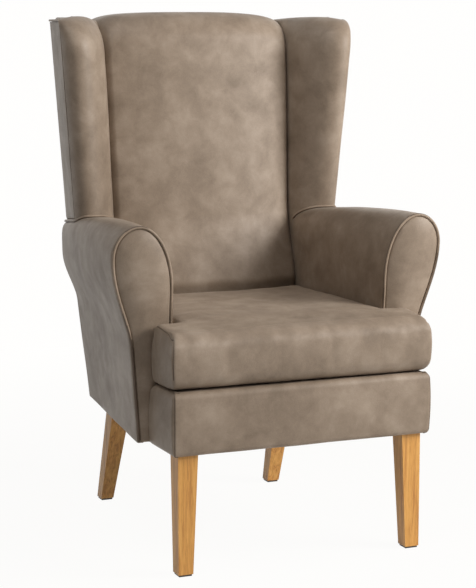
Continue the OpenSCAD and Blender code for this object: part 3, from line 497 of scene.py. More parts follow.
def outsideWing(side):
    # a padded panel from the side seam to the rear, on the arm
    r = wing["round"] - wing["pipeSet"]
    bend = r - sidePanel["gap"]
    lines = [(z, seamY(z) + r - bend, 0.0) for z in np.linspace(sidePanel["lowZ"], roundZ, 46)]
    for a in np.radians(np.linspace(5, 90, 24)):
        z = roundZ + bend * sin(a)
        lines.append((z, seamY(z) + r - bend * cos(a), 1 - cos(a)))
    foot = sidePanel["footRows"]

    def panelPoint(line, column):
        i, (z0, front, turn) = line
        rear = rearY(z0) - sidePanel["rear"]
        y, z = mix(front, rear, column), z0
        if i < foot:
            onArm = armSurfaceZ(wingLineX(z, y), y) + sidePanel["footGap"]
            z = mix(onArm, lines[foot][0], i / foot)
        away = min(y - front, rear - y, z - lines[0][0] + 40 if i else 0, abs(lines[-1][0] - z))
        x = wingLineX(z, y) - sidePanel["setIn"] + standOut(away, sidePanel)
        return x, y, z - wing["sag"] * turn

    rows = grid(enumerate(lines), edgeSpread(150, step=9) / 150, panelPoint)
    return addBacking(turnToward(gridObject("outsideWing", rows, side), 1, 0))


def wingPiping(side):
    setIn = wing["pipeSet"]
    r = wing["round"] - setIn
    top = roundZ + r
    low = armSurfaceZ(wing["seamLow"], seamY(wing["footZ"])) + wing["cordStart"]
    path = [(seamX(z) - setIn, seamY(z), z) for z in np.linspace(low, roundZ, 60)[:-1]]
    for a in np.radians(np.linspace(0, 90, 22)):
        z = roundZ + r * sin(a)
        y = seamY(z) + r * (1 - cos(a))
        path.append((wingLineX(z, y) - setIn, y, z - wing["sag"] * (1 - cos(a))))
    for y in np.linspace(seamY(top) + r, rearY(top) - 5, 24)[1:]:
        path.append((wingLineX(top, y) - setIn, y, top - wing["sag"]))
    obj = tube("wingPiping", path, chair["piping"] * wing["cordThin"], side)
    # the cord's front-facing faces take painted shade, a dark seam line
    return darken(obj, lambda poly: poly.normal.y < -0.6)


def footPiping(side):
    z = chair["armTopZ"] - arm["drop"] / 2
    plan = noseLine((creaseX(z), creaseY(z)), (noseX(z), noseY(z)), (seamX(z), seamY(z)),
                    np.radians(np.linspace(16, 90, 30)), np.radians(np.linspace(86, 1, 28)))
    plan += [(wingLineX(z, y), y) for y in np.linspace(seamY(z), innerRearY(wing["heelZ"]), 28)[1:]]
    lift = chair["piping"] + wing["cordLift"]
    path = [(x, y, armSurfaceZ(x, y) + lift) for x, y in plan]
    obj = tube("wingFootPiping", path, chair["piping"], side)
    # the cord's lower faces take painted shade, a dark line under the cord
    return darken(obj, lambda poly: poly.index % cordSides in (4, 5, 6, 7))


# Inside back
back = {
    "half": 212, "flare": 9, "depth": 117, "lumbar": 30, "lumbarTop": 659, "seatTop": 484,
    "crown": 30, "power": 2.6, "round": 62, "topSag": 8, "cornerSag": 13,
    "tuck": 9, "footTuck": 8, "footTop": 516, "footReach": 30,
    "columns": 121, "spread": 0.86, "lip": 16, "lipRound": 12, "sideSteps": 6, "sideGap": 0.4,
}


def backHalfX(z):
    return back["half"] + back["flare"] * min(1, max(0, wingShare(z)))


def backTop(s):
    return chair["topZ"] - back["topSag"] * s * s - back["cornerSag"] * abs(s) ** 8


def backFaceY(s, z):
    share = smooth((back["lumbarTop"] - z) / (back["lumbarTop"] - back["seatTop"]))
    depth = back["depth"] + back["lumbar"] * share
    crown = back["crown"] * (1 - abs(s) ** back["power"])
    tuck = back["tuck"] * max(0, (abs(s) - 0.93) / 0.07) ** 2
    foot = back["footTuck"] * smooth((back["footTop"] - z) / back["footReach"])
    return rearY(z) - depth - crown + tuck + foot


def insideBack():
    spread, r, lip, turn = back["spread"], back["round"], back["lip"], back["lipRound"]
    angles = np.linspace(-pi / 2, pi / 2, back["columns"]) * spread
    shares = np.sin(angles) / sin(pi / 2 * spread)
    levels = np.r_[np.linspace(0, 0.15, 8)[:-1], np.linspace(0.15, 0.24, 18)[:-1],
                   np.linspace(0.24, 1, 84)]

    def facePoint(v, s):
        z = mix(chair["deckZ"] + 1, backTop(s) - r, v)
        return s * (backHalfX(z) - back["sideGap"]), backFaceY(s, z), z

    def bendPoint(a, s):
        low = backTop(s) - r
        z = low + r * sin(a)
        y = backFaceY(s, low) + r * (1 - cos(a)) + (z - low) * tanBack
        return s * (backHalfX(z) - back["sideGap"]), y, z

    rows = grid(levels, shares, facePoint)
    rows += grid(np.radians(np.linspace(4, 90, 24)), shares, bendPoint)
    top = rows[-1]
    for k in np.linspace(0, 1, 14)[1:]:
        rows.append([(x, mix(y, rearY(z) - lip, k), z) for x, y, z in top])
    for b in np.radians([25, 50, 75, 90]):
        rows.append([(x, rearY(z) - lip + turn * sin(b), z - turn * (1 - cos(b)))
                     for x, y, z in top])
    n = len(shares)
    points = [p for r in rows for p in r]
    faces = gridFaces(len(rows), n)
    # side walls, back to the rear
    depth = back["sideSteps"]
    for col in (0, n - 1):
        base = len(points)
        for r in rows:
            x, y, z = r[col]
            end = max(rearY(z) - 6, y + 1)
            points += [(x, mix(y, end, k / depth), z) for k in range(1, depth + 1)]
        for i in range(len(rows) - 1):
            for k in range(depth):
                b, c = base + i * depth + k, base + (i + 1) * depth + k
                a, d = (b - 1, c - 1) if k else (i * n + col, (i + 1) * n + col)
                faces.append((d, c, b, a) if col else (a, b, c, d))
    return turnToward(makeObject("insideBack", points, faces), 0, -1)


rearPanel = {
    "half": 300, "wingFoot": 221, "wingTop": 1086, "wingSag": 7, "cornerSag": 10, "corner": 0.85,
    "inset": 4.4, "topInset": 9, "setIn": 1.6, "puff": 2.0, "reach": 50, "drop": 3.4, "edge": 3.6,
}


def rearTopZ(x):
    start = rearPanel["wingFoot"]
    if x < start:
        return backTop(x / start) - rearPanel["topInset"]
    s, corner = (x - start) / (rearPanel["half"] - start), rearPanel["corner"]
    sag = rearPanel["wingSag"] * (2 * s - 1) ** 2
    return rearPanel["wingTop"] - sag - rearPanel["cornerSag"] * max(0, s - corner) / (1 - corner)


def rearHalfX(z):
    if z < armRollZ(1):
        return armSideX(1, z) - rearPanel["inset"]
    half = mix(wing["rearLow"], wing["rearHigh"], wingShare(z))
    if z < armCrestZ(1):
        q = (z - armRollZ(1)) / (armCrestZ(1) - armRollZ(1))
        cut = max(0.0, 1 - q ** (2 / arm["square"])) ** (arm["square"] / 2)
        half = max(half, mix(armCrestX(1), armRollX(1), cut))
    return half - rearPanel["inset"]


def outsideBack():
    # closes the rear of the arms, the wings and the back
    zs = chair["baseZ"] + edgeSpread(800, step=9)[:-4]
    lines = [(z, rearHalfX(z), None) for z in zs]
    lines += [(zs[-1], rearHalfX(zs[-1]), k)
              for k in np.r_[np.linspace(0, 1, 8)[1:-1], 0.9, 0.96, 0.985, 1]]
    columns = edgeSpread(600, step=8) / 300 - 1

    def panelPoint(line, column):
        z, half, up = line
        x = column * half
        topZ = rearTopZ(min(rearPanel["half"], abs(x)))
        if up is not None:
            z = mix(z, topZ, up)
        away = min(half - abs(x), z - chair["baseZ"], topZ - z)
        return x, rearY(z) - rearPanel["setIn"] + standOut(away, rearPanel), z

    rows = grid(lines, columns, panelPoint)
    return addBacking(turnToward(gridObject("outsideBack", rows), 0, 1))


# Front border under the cushion
border = {
    "swell": 3.5, "round": 13, "corner": 9, "under": 9, "seam": 1.8,
    "endDrop": 17, "endReach": 30, "endRound": 5, "armGap": 3,
}


def frontBorder():
    half, r, low, high = chair["seatHalf"], border["corner"], chair["baseZ"], chair["deckZ"]
    cx, cy, end = half - r, chair["frontY"] + r, chair["armFaceY"]
    right = [(half, end - k) for k in (0, 0.8, 2, 4, 7)]
    right += [(half, y) for y in np.linspace(end - 11, cy, 30)]
    right += [(cx + r * cos(a), cy - r * sin(a))
              for a in np.radians([12, 24, 35, 44, 50, 54, 58, 62, 68, 78, 90])]
    seamAt = len(right) - 5
    right += [(x, chair["frontY"]) for x in np.linspace(cx, 0, 48)[1:]]
    # the section, from under the frame over the top, as inset and height
    under, top = border["under"], border["round"]
    section = [(13, low + 1.2), (under + 3, low)]
    section += [(under * (1 - sin(a)), low + under * (1 - cos(a)))
                for a in np.radians([0, 30, 60, 90])]
    section += [(0, z) for z in np.linspace(low + 10, high - top - 2, 18)]
    section += [(top * (1 - cos(a)), high - top * (1 - sin(a)))
                for a in np.radians(np.linspace(0, 90, 10))]
    section += [(top + 2.5, high - 0.6), (top + 4, high - 8)]
    rows = []
    for i, p in enumerate(right):
        along = np.array(right[min(len(right) - 1, i + 1)]) - np.array(right[max(0, i - 1)])
        along = along / np.linalg.norm(along)
        inward = np.array([along[1], -along[0]])
        if inward.dot(np.array([0, -200]) - p) < 0:
            inward = -inward
        groove = border["seam"] * max(0, 1 - abs(i - seamAt) / 2)
        away = end - p[1]
        share = max(0, 1 - away / border["endRound"])
        turn = border["endRound"] * (1 - sqrt(1 - share ** 2))
        share = max(0, 1 - away / border["endReach"])
        fall = border["endDrop"] * (1 - sqrt(1 - share ** 2))
        row = []
        for d, z in section:
            h = (z - low) / (high - low)
            dip = groove if 3 < z - low < high - low - 3 else groove * 0.4
            q = np.array(p) + inward * (d + border["swell"] * (2 * h - 1) ** 2 + dip + turn)
            lean = (faceY(z) - end - border["armGap"]) * (1 - smooth((away - 20) / 60))
            row.append((q[0], q[1] + lean, z - fall * h ** 3))
        rows.append(row)
    rows += [[(-x, y, z) for x, y, z in row] for row in rows[-2::-1]]
    obj = turnOutward(gridObject("frontBorder", rows))
    # painted shade at the bottom of the two corner seams, where the grooves lie in shadow
    wide = len(section) - 1
    for r0 in (seamAt - 1, seamAt, len(rows) - 2 - seamAt, len(rows) - 1 - seamAt):
        for c in range(3, wide - 4):
            obj.data.polygons[r0 * wide + c].material_index = 1
    return obj


# Loose seat cushion: its front panel turns over the front edge, and flat side panels
# are sewn in along that profile
cushion = {
    "low": 372.6, "high": 484.3, "crown": 5, "rise": 9, "swell": 5, "corner": 7, "earCorner": 12,
    "rearCorner": 16, "roundFront": 28, "roundSide": 8, "roundRest": 13, "foot": 10,
    "footFront": 30, "seam": 1.7, "rearY": 111.4, "gap": 5.9, "side": 1.5, "rearBow": 21,
    "earPoints": 26, "frontPoints": 44, "cornerAngles": (0, 15, 28, 36, 41, 45, 49, 54, 62, 75, 90),
    "edgeAngles": (7, 14, 21, 28, 33, 38, 42, 46, 51, 57, 64, 72, 81, 90),
    "seamAngle": 42, "skinPasses": 900, "skinBlow": 0.002, "blur": 16, "inset": 0.4,
}


def seatHalfX(y):
    z = chair["deckZ"]
    start, end = faceY(z) + arm["setback"], innerRearY(z)
    return armInnerX((y - start) / (end - start)) - 0.3


def cushionPlan(z, atFront, atSide, atRest):
    # from the middle of the rear round the right side to the middle of the front, at a
    # height z, with the front, the ears' sides and the rest drawn in by these
    gap = cushion["gap"]
    earY = faceY(z) - gap - atRest
    rear = cushion["rearY"] + (z - cushion["low"]) * tanBack - atRest * 0.6
    half = chair["seatHalf"] - cushion["inset"] - atSide
    front = chair["frontY"] + cushion["inset"] + atFront
    c, e, b = cushion["corner"], cushion["earCorner"], cushion["rearCorner"]
    rx = seatHalfX(cushion["rearY"]) - cushion["side"] - atRest
    nx = seatHalfX(faceY(z) - gap) - cushion["side"] - atRest

    def bow(x):
        return cushion["rearBow"] * (abs(x) / 212) ** 2.5

    turn = np.radians(np.arange(0, 91, 7.5))
    path = [(u * (rx - b), rear + bow(u * rx)) for u in np.linspace(0, 1, 34)]
    path += [(rx - b * (1 - sin(a)), rear + bow(rx) - b * (1 - cos(a))) for a in turn[1:]]
    path += [(mix(rx, nx, u), mix(rear + bow(rx) - b, earY, u)) for u in np.linspace(0, 1, 46)[1:]]
    path += [(mix(nx, half - e, u), earY) for u in np.linspace(0, 1, 8)[1:-1]]
    path += [(half - e * (1 - sin(a)), earY - e * (1 - cos(a))) for a in turn]
    path += [(half, mix(earY - e, front + c, u))
             for u in np.linspace(0, 1, cushion["earPoints"])[1:-1]]
    path += [(half - c * (1 - cos(a)), front + c * (1 - sin(a)))
             for a in np.radians(cushion["cornerAngles"])]
    path += [(mix(half - c, 0, u), front) for u in np.linspace(0, 1, cushion["frontPoints"])[1:]]
    return np.array(path)


def blurred(places, values, reach):
    # each value averaged with those near it
    made = np.empty(len(values))
    for i in range(0, len(places), 240):
        gaps = ((places[i:i + 240, None] - places[None, ::3]) ** 2).sum(2)
        weights = np.exp(-gaps / (2 * reach * reach))
        made[i:i + 240] = (weights * values[::3]).sum(1) / weights.sum(1)
    return made


def riseAt(y):
    # the top rises from the front to the back of the ears
    run = faceY(chair["deckZ"]) - chair["frontY"]
    return cushion["rise"] * smooth((y - chair["frontY"]) / run)


def cushionTop(rim):
    # the crown: a skin blown up a little between its edges
    high, columns = cushion["high"], len(rim)
    middle = np.array([0, mix(chair["frontY"], faceY(chair["deckZ"]), 0.55)])
    top = []
    for s in np.r_[0.985, 0.965, 0.94, 0.91, np.linspace(0.87, 0.04, 30)]:
        flat = middle + (rim[:, :2] - middle) * s
        top.append(np.column_stack([flat, high + riseAt(flat[:, 1])]))
    top = np.array(top)
    height = np.zeros(top.shape[:2])
    allFlat = np.r_[rim[None, :, :2], top[:, :, :2]]
    gapIn = np.linalg.norm(np.diff(allFlat, axis=0), axis=2)
    gapRound = np.linalg.norm(top[:, :, :2] - np.roll(top[:, :, :2], 1, 1), axis=2)
    wb, wa = gapRound / gapIn, gapRound / np.vstack([gapIn[1:], gapIn[-1:]])
    wl, wr = gapIn / gapRound, gapIn / np.roll(gapRound, -1, 1)
    blow = (gapIn + 1) * (gapRound + np.roll(gapRound, -1, 1)) / 2 * cushion["skinBlow"]
    for _ in range(cushion["skinPasses"]):
        before = np.vstack([np.zeros((1, columns)), height[:-1]])
        after = np.vstack([height[1:], np.full((1, columns), height[-1].mean())])
        total = wb * before + wa * after + wl * np.roll(height, 1, 1)
        height = (total + wr * np.roll(height, -1, 1) + blow) / (wb + wa + wl + wr)
    known = np.r_[np.zeros((1, columns)), height].ravel()
    even = blurred(allFlat.reshape(-1, 2), known, cushion["blur"])[columns:]
    top[:, :, 2] += even.reshape(height.shape) * cushion["crown"] / height.max()
    return top


def seatCushion():
    low, high, angles = cushion["low"], cushion["high"], cushion["edgeAngles"]
    plain = cushionPlan(low, 0, 0, 0)
    count = len(plain)
    atZ = cushionPlan(low + 1, 0, 0, 0) - plain
    moves = [cushionPlan(low, *k) - plain for k in ((1, 0, 0), (0, 1, 0), (0, 0, 1))]
    inward = sum(moves)
    index = np.arange(count)
    frontFrom = count - (cushion["frontPoints"] - 1)
    seamAt = frontFrom - 6
    sideFrom = frontFrom - len(cushion["cornerAngles"]) - (cushion["earPoints"] - 2)
    groove = np.clip(1 - abs(index - seamAt) / 1.6, 0, 1)
    front = np.where(index < sideFrom, 0, smooth((40 - (plain[:, 1] - chair["frontY"])) / 34))
    ear = smooth((index - sideFrom + 12) / 10)
    edge = mix(mix(cushion["roundRest"], cushion["roundSide"], ear), cushion["roundFront"], front)
    onEar = ear * smooth((seamAt + 1 - index) / 2)

    def row(z, insets, dip, fall):
        # each column at its own height, with the boxing's swell
        h = (z - low) / (high - low)
        push = cushion["swell"] * (2 * h - 1) ** 2 + dip
        flat = plain + atZ * (z - low)[:, None] + inward * push[:, None]
        for move, inset in zip(moves, insets):
            flat = flat + move * inset
        return np.column_stack([flat, z + riseAt(flat[:, 1]) * h * h - fall])

    seam = cushion["seam"]
    feet = (cushion["footFront"], cushion["foot"], cushion["foot"])
    footZ = mix(cushion["foot"] * 0.8, cushion["footFront"] * 0.85, front)
    rows = [row(low * np.ones(count), [k * 1.5 for k in feet], 0, 0)]
    for b in np.radians([0, 18, 36, 54, 72, 90]):
        insets = [k * (1 - sin(b)) for k in feet]
        rows.append(row(low + footZ * (1 - cos(b)), insets, 0, 0))
    for u in np.linspace(0, 1, 16)[1:]:
        rows.append(row(mix(low + footZ, high - edge, u), (0, 0, 0), groove * seam, 0))
    edges = (cushion["roundFront"], cushion["roundSide"], cushion["roundRest"])
    for a in angles:
        r = radians(a)
        line = max(0, 1 - abs(a - cushion["seamAngle"]) / 8) * onEar * seam
        upright = groove * seam * max(0, min(1, (50 - a) / 12))
        dip = np.maximum(line, upright)
        rows.append(row(high - edge * (1 - sin(r)), [k * (1 - cos(r)) for k in edges],
                        dip * cos(r), dip * sin(r)))
    columns = 2 * count - 2
    full = [np.concatenate([q, q[-2:0:-1] * (-1, 1, 1)]) for q in rows]
    full += list(cushionTop(full[-1]))
    points = [tuple(q) for r in full for q in r]
    faces = gridFaces(len(full), columns, True)
    points += [tuple(np.mean(full[0], 0)), tuple(np.mean(full[-1], 0))]
    faces += [((i + 1) % columns, i, len(points) - 2) for i in range(columns)]
    last = (len(full) - 1) * columns
    faces += [(last + i, last + (i + 1) % columns, len(points) - 1) for i in range(columns)]
    obj = turnOutward(makeObject("seatCushion", points, faces))
    # painted shade at the bottom of the side panels' seams, where the grooves lie in shadow
    straight = len(rows) - len(angles)
    seamShadeFaces = [(r, c) for r in range(6, straight + angles.index(33)) for c in (seamAt - 1, seamAt)]
    lineRow = straight - 1 + angles.index(cushion["seamAngle"])
    seamShadeFaces += [(r, c) for r in (lineRow, lineRow + 1) for c in range(sideFrom - 8, seamAt - 1)]
    for r, c in seamShadeFaces:
        for k in (c, columns - 1 - c):
            obj.data.polygons[r * columns + k].material_index = 1
    return obj


filling = {
    "voxel": 0.009, "pressure": 4, "slack": -0.035, "frames": 20, "quality": 4, "mass": 0.3,
    "stretch": 12, "shear": 5, "bend": 0.4, "heldBelow": 0.012, "slowCount": 60, "nearCount": 8,
    "puff": 0.0022, "pucker": 0.0012,
}


def treeOf(places):
    tree = KDTree(len(places))
    for i, at in enumerate(places):
        tree.insert(at, i)
    tree.balance()
    return tree


def carried(tree, move, at, count):
    # a movement found at scattered points, read at another point
    total, weight = np.zeros(3), 0
    for _, index, gap in tree.find_n(at, count):
        share = 1 / (gap + 0.002) ** 2
        total += move[index] * share
        weight += share
    return total / weight


def puffOut(obj):
    # the cover blown out by its filling between the seams, which hold it: an even copy is
    # simulated as cloth, and its movement carried over to the sewn mesh
    scene = bpy.context.scene
    skin = addObject("skin", obj.data.copy())
    even = skin.modifiers.new("even", "REMESH")
    even.mode, even.voxel_size = "VOXEL", filling["voxel"]
    graph = bpy.context.evaluated_depsgraph_get()
    mesh = bpy.data.meshes.new_from_object(skin.evaluated_get(graph))
    skin.modifiers.clear()
    skin.data = mesh
    start = np.array([v.co for v in mesh.vertices])
    seams = treeOf([p.center for p in obj.data.polygons if p.material_index])
    low = cushion["low"] * 0.001 + filling["heldBelow"]
    held = skin.vertex_groups.new(name="held")
    held.add([i for i, v in enumerate(mesh.vertices)
              if v.co.z < low or seams.find(v.co)[2] < filling["voxel"]], 1, "REPLACE")
    cloth = skin.modifiers.new("fill", "CLOTH")
    cloth.point_cache.frame_start, cloth.point_cache.frame_end = 1, filling["frames"]
    rules = cloth.settings
    rules.quality, rules.mass = filling["quality"], filling["mass"]
    rules.tension_stiffness = rules.compression_stiffness = filling["stretch"]
    rules.shear_stiffness, rules.bending_stiffness = filling["shear"], filling["bend"]
    rules.use_pressure, rules.uniform_pressure_force = True, filling["pressure"]
    rules.shrink_min = filling["slack"]
    rules.vertex_group_mass = "held"
    rules.effector_weights.gravity = 0
    for at in range(1, filling["frames"] + 1):
        scene.frame_set(at)
    graph = bpy.context.evaluated_depsgraph_get()
    move = np.array([v.co for v in skin.evaluated_get(graph).data.vertices]) - start
    tree = treeOf(start)
    # the slow swelling is scaled down as a whole, and the small puckers one by one
    slow = np.array([carried(tree, move, at, filling["slowCount"]) for at in start])
    fine = move - slow
    slow *= filling["puff"] / max(filling["puff"], np.linalg.norm(slow, axis=1).max())
    length = np.linalg.norm(fine, axis=1)[:, None]
    move = slow + fine * (filling["pucker"] / np.maximum(filling["pucker"], length))
    most = float(np.linalg.norm(move, axis=1).max())
    print("cushion cloth:", len(start), "points, movement up to", round(most, 4))
    for v in obj.data.vertices:
        v.co += Vector(carried(tree, move, v.co, filling["nearCount"]))
    obj.data.update()
    scene.frame_set(1)
    bpy.data.objects.remove(skin)
    return obj


deck = {"setback": 17, "half": 268, "rearHalf": 205, "midHalf": 212, "midY": 160, "rearY": 225,
        "margin": 50, "sink": 0.6, "armGap": 6,
        "edge": ((0, 28), (0, 6), (0.8, 2.6), (2.6, 0.8), (6, 0))}


def seatDeck():
    # the platform under the cushion: lining, with the cover fabric along the front in its darker
    # copy, which is painted shade
    top, reach = chair["deckZ"] - deck["sink"], deck["edge"][-1][0]
    ear = faceY(chair["deckZ"]) - deck["armGap"]
    front = chair["frontY"] + deck["setback"]
    spans = [(front + d, deck["half"], drop) for d, drop in deck["edge"]]
    spans += [(y, deck["half"], 0) for y in np.linspace(front + reach, ear, 14)[1:]]
    halves = [seatHalfX(ear) - 1, deck["midHalf"], deck["rearHalf"]]
    spans += [(y, np.interp(y, [ear, deck["midY"], deck["rearY"]], halves), 0)
              for y in np.linspace(ear + 0.2, deck["rearY"], 30)]
    rows = []
    for y, half, low in spans:
        side = [(half - d, drop) for d, drop in deck["edge"]]
        flat = [(x, 0) for x in np.linspace(half - reach, reach - half, 24)[1:-1]]
        row = side + flat + [(-x, drop) for x, drop in side[::-1]]
        rows.append([(x, y, top - max(drop, low)) for x, drop in row])
    limit = (front + deck["margin"]) * 0.001
    obj = turnOutward(gridObject("seatDeck", rows))
    # the front margin takes the cover's darker copy: painted shade in the gap under the cushion
    return darken(obj, lambda poly: poly.center.y < limit)


# Materials. In feed(), a socket, or a node's first output, is linked, and a value is set
def feed(tree, socket, value):
    if isinstance(value, bpy.types.Node):
        value = value.outputs[0]
    if isinstance(value, bpy.types.NodeSocket):
        tree.links.new(value, socket)
    else:
        socket.default_value = value


def node(tree, kind, *inputs, **values):
    made = tree.nodes.new("ShaderNode" + kind)
    for key, value in values.items():
        if key in made.inputs:
            feed(tree, made.inputs[key], value)
        else:
            setattr(made, key, value)
    for socket, value in zip(made.inputs, inputs):
        feed(tree, socket, value)
    return made


def mixNode(tree, kind, share, a, b, **settings):
    made = node(tree, "Mix", data_type=kind, **settings)
    first, result = (2, 0) if kind == "FLOAT" else (6, 2)
    for i, value in ((0, share), (first, a), (first + 1, b)):
        feed(tree, made.inputs[i], value)
    return made.outputs[result]


def noiseNode(tree, at, scale, detail, rough, distortion=0.0):
    return node(tree, "TexNoise", at, Scale=scale, Detail=detail, Roughness=rough,
                Distortion=distortion)


def objectPlace(tree):
    return node(tree, "TexCoord").outputs["Object"]


def linear(level):
    return ((level / 255 + 0.055) / 1.055) ** 2.4 if level > 10 else level / 255 / 12.92


def ramp(tree, source, stops):
    # each stop is its place and its red, green and blue out of 255
    made = node(tree, "ValToRGB", source)
    made.color_ramp.elements.remove(made.color_ramp.elements[1])
    for i, (at, *colour) in enumerate(stops):
        stop = made.color_ramp.elements.new(at) if i else made.color_ramp.elements[0]
        stop.position, stop.color = at, (*map(linear, colour), 1)
    return made


def newGroup(name, inputs, outputs):
    # a shader node group: its tree, its inputs, its outputs and the place on the chair
    tree = bpy.data.node_groups.new(name, "ShaderNodeTree")
    for label, start in inputs.items():
        kind = "NodeSocketColor" if isinstance(start, tuple) else "NodeSocketFloat"
        made = tree.interface.new_socket(label, in_out="INPUT", socket_type=kind)
        made.default_value = start
    for label in outputs:
        kind = "NodeSocketColor" if label == "Color" else "NodeSocketFloat"
        tree.interface.new_socket(label, in_out="OUTPUT", socket_type=kind)
    given = tree.nodes.new("NodeGroupInput").outputs
    return tree, given, tree.nodes.new("NodeGroupOutput").inputs, objectPlace(tree)


suede = {
    "stops": ((0.36, 126, 110, 94), (0.5, 147, 130, 113), (0.64, 167, 150, 133)),
    "patch": 6.5, "blotch": 21, "grain": 420, "pebble": 672,
    "blotchShare": 0.55, "grainShare": 0.12, "pebbleShare": 0.4, "dull": 0.55, "glossy": 0.44,
    "relief": 0.0006,
}


def suedeGroup():
    # aged suede: slow patches, blotches and fine nap
    scales = {"Patch Scale": suede["patch"], "Blotch Scale": suede["blotch"],
              "Nap Scale": suede["grain"]}
    tree, given, out, at = newGroup("agedSuede", {"Tint": (1, 1, 1, 1), **scales},
                                    ("Color", "Roughness", "Height"))
    patch = noiseNode(tree, at, given["Patch Scale"], 3, 0.5, 0.4)
    blotch = noiseNode(tree, at, given["Blotch Scale"], 6, 0.62, 0.25)
    nap = noiseNode(tree, at, given["Nap Scale"], 4, 0.6)
    pebble = node(tree, "TexVoronoi", at, Scale=suede["pebble"])
    tone = mixNode(tree, "FLOAT", suede["blotchShare"], patch, blotch)
    tone = mixNode(tree, "FLOAT", suede["grainShare"], tone, nap)
    feed(tree, out["Color"], mixNode(tree, "RGBA", 1, ramp(tree, tone, suede["stops"]),
                                     given["Tint"], blend_type="MULTIPLY"))
    feed(tree, out["Roughness"],
         node(tree, "MapRange", tone, 0.35, 0.65, suede["dull"], suede["glossy"]))
    feed(tree, out["Height"],
         node(tree, "Math", pebble, suede["pebbleShare"], nap, operation="MULTIPLY_ADD"))
    return tree


def woodGroup():
    # figure and pores, drawn out along the leg or rail
    tree, given, out, at = newGroup("woodGrain", {"Scale": 20.0, "Length Share": 0.055},
                                    ("Figure", "Pores"))
    shape = node(tree, "CombineXYZ", 1, 1, given["Length Share"])
    shape = node(tree, "VectorMath", shape, operation="SCALE", Scale=given["Scale"])
    drawn = node(tree, "VectorMath", at, shape, operation="MULTIPLY")
    figure = noiseNode(tree, drawn, 5, 5, 0.6, 0.9)
    pores = noiseNode(tree, drawn, 42, 3, 0.7)
    feed(tree, out["Figure"], mixNode(tree, "FLOAT", 0.3, figure, pores))
    feed(tree, out["Pores"], pores)
    return tree


def weaveGroup():
    # a plain weave: two crossed sets of threads
    tree, given, out, at = newGroup("plainWeave", {"Threads": 900.0}, ("Weave",))
    waves = [node(tree, "TexWave", at, Scale=given["Threads"], Distortion=0.4,
                  bands_direction=way).outputs["Fac"] for way in ("X", "Y")]
    feed(tree, out["Weave"], node(tree, "Math", *waves, operation="MULTIPLY"))
    return tree


def grainGroup():
    tree, given, out, at = newGroup("fineGrain", {"Scale": 200.0}, ("Grain",))
    feed(tree, out["Grain"], noiseNode(tree, at, given["Scale"], 4, 0.6))
    return tree


def newMaterial(name, **shader):
    made = bpy.data.materials.new(name)
    made.use_nodes = True
    bsdf = made.node_tree.nodes["Principled BSDF"]
    for key, value in shader.items():
        bsdf.inputs[key].default_value = value
    return made, made.node_tree, bsdf


def addSurface(tree, bsdf, colour, height, strength, depth):
    feed(tree, bsdf.inputs["Base Color"], colour)
    feed(tree, bsdf.inputs["Normal"],
         node(tree, "Bump", Strength=strength, Distance=depth, Height=height))


agedSuede, woodGrain, plainWeave, fineGrain = suedeGroup(), woodGroup(), weaveGroup(), grainGroup()


def coverMaterial(name, bump, tint):
    made, tree, bsdf = newMaterial(name, **{"Specular IOR Level": 0.32, "Sheen Weight": 0.06,
                                            "Sheen Roughness": 0.4})
    skin = node(tree, "Group", node_tree=agedSuede, Tint=(*tint, 1)).outputs
    feed(tree, bsdf.inputs["Roughness"], skin["Roughness"])
    addSurface(tree, bsdf, skin["Color"], skin["Height"], bump, suede["relief"])
    return made


def patternMaterial(name, group, scale, stops, bump, **shader):
    # a group's first output gives the colours, and its last one the relief
    made, tree, bsdf = newMaterial(name, **shader)
    pattern = node(tree, "Group", scale, node_tree=group).outputs
    addSurface(tree, bsdf, ramp(tree, pattern[0], stops), pattern[-1], *bump)
    return made


def woodMaterial(name, scale, stops, roughness, coat):
    return patternMaterial(name, woodGrain, scale, stops, (0.25, 0.0005), **{
        "Roughness": roughness, "Coat Weight": coat, "Coat Roughness": 0.25})


def clothMaterial(name, threads, low, high):
    return patternMaterial(name, plainWeave, threads, ((0.1, *low), (0.8, *high)), (0.5, 0.0004),
                           Roughness=0.9)


def plainMaterial(name, scale, low, high, roughness, metallic=0.0):
    return patternMaterial(name, fineGrain, scale, ((0.35, *low), (0.65, *high)), (0.2, 0.0004),
                           Roughness=roughness, Metallic=metallic)


# a copy of the cover tinted to half: painted shade for the bottoms of seams, the cords' shaded
# sides and the deck's front margin
paintedSeamShade = coverMaterial("coverSeam", 0.2, (0.5, 0.47, 0.45))
oakStops = ((0.34, 174, 110, 50), (0.5, 221, 160, 80), (0.66, 240, 184, 104))
beechStops = ((0.3, 196, 160, 120), (0.7, 224, 194, 154))
finishes = {
    "upholstery": coverMaterial("cover", 0.35, (1, 1, 1)),
    # the cord's cover is tinted lighter than the rest: a painted highlight, for the raised cord
    # catching the light
    "piping": coverMaterial("coverCord", 0.2, (1.14, 1.13, 1.12)),
    "oak_legs": woodMaterial("oak", 22, oakStops, 0.45, 0.08),
    "beech_frame": woodMaterial("beech", 16, beechStops, 0.7, 0.0),
    "black_lining": clothMaterial("blackLining", 900, (28, 24, 21), (50, 44, 39)),
    "webbing": clothMaterial("webbing", 420, (58, 50, 44), (92, 82, 72)),
    "seat_foam": plainMaterial("foam", 300, (214, 206, 168), (234, 228, 196), 0.95),
    "nylon_glides": plainMaterial("nylon", 200, (58, 50, 44), (74, 66, 58), 0.5),
    "steel_fixings": plainMaterial("zincPlate", 160, (150, 152, 154), (190, 192, 194), 0.35, 1.0),
}
print("stage: materials made")


# Pieces
def finishPiece(obj, slot, nodes, soft=None, body="chair"):
    # soft is the size, depth and seed of its softening
    if soft:
        soften(obj, *soft)
    shares = [p.material_index for p in obj.data.polygons]
    obj.data.materials.clear()
    obj.data.materials.append(finishes[slot])
    # faces marked darker take the cover's darker copy as a second material: painted shade
    if any(shares):
        obj.data.materials.append(paintedSeamShade)
        obj.data.polygons.foreach_set("material_index", shares)
    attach(obj, body)
    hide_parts(*nodes)


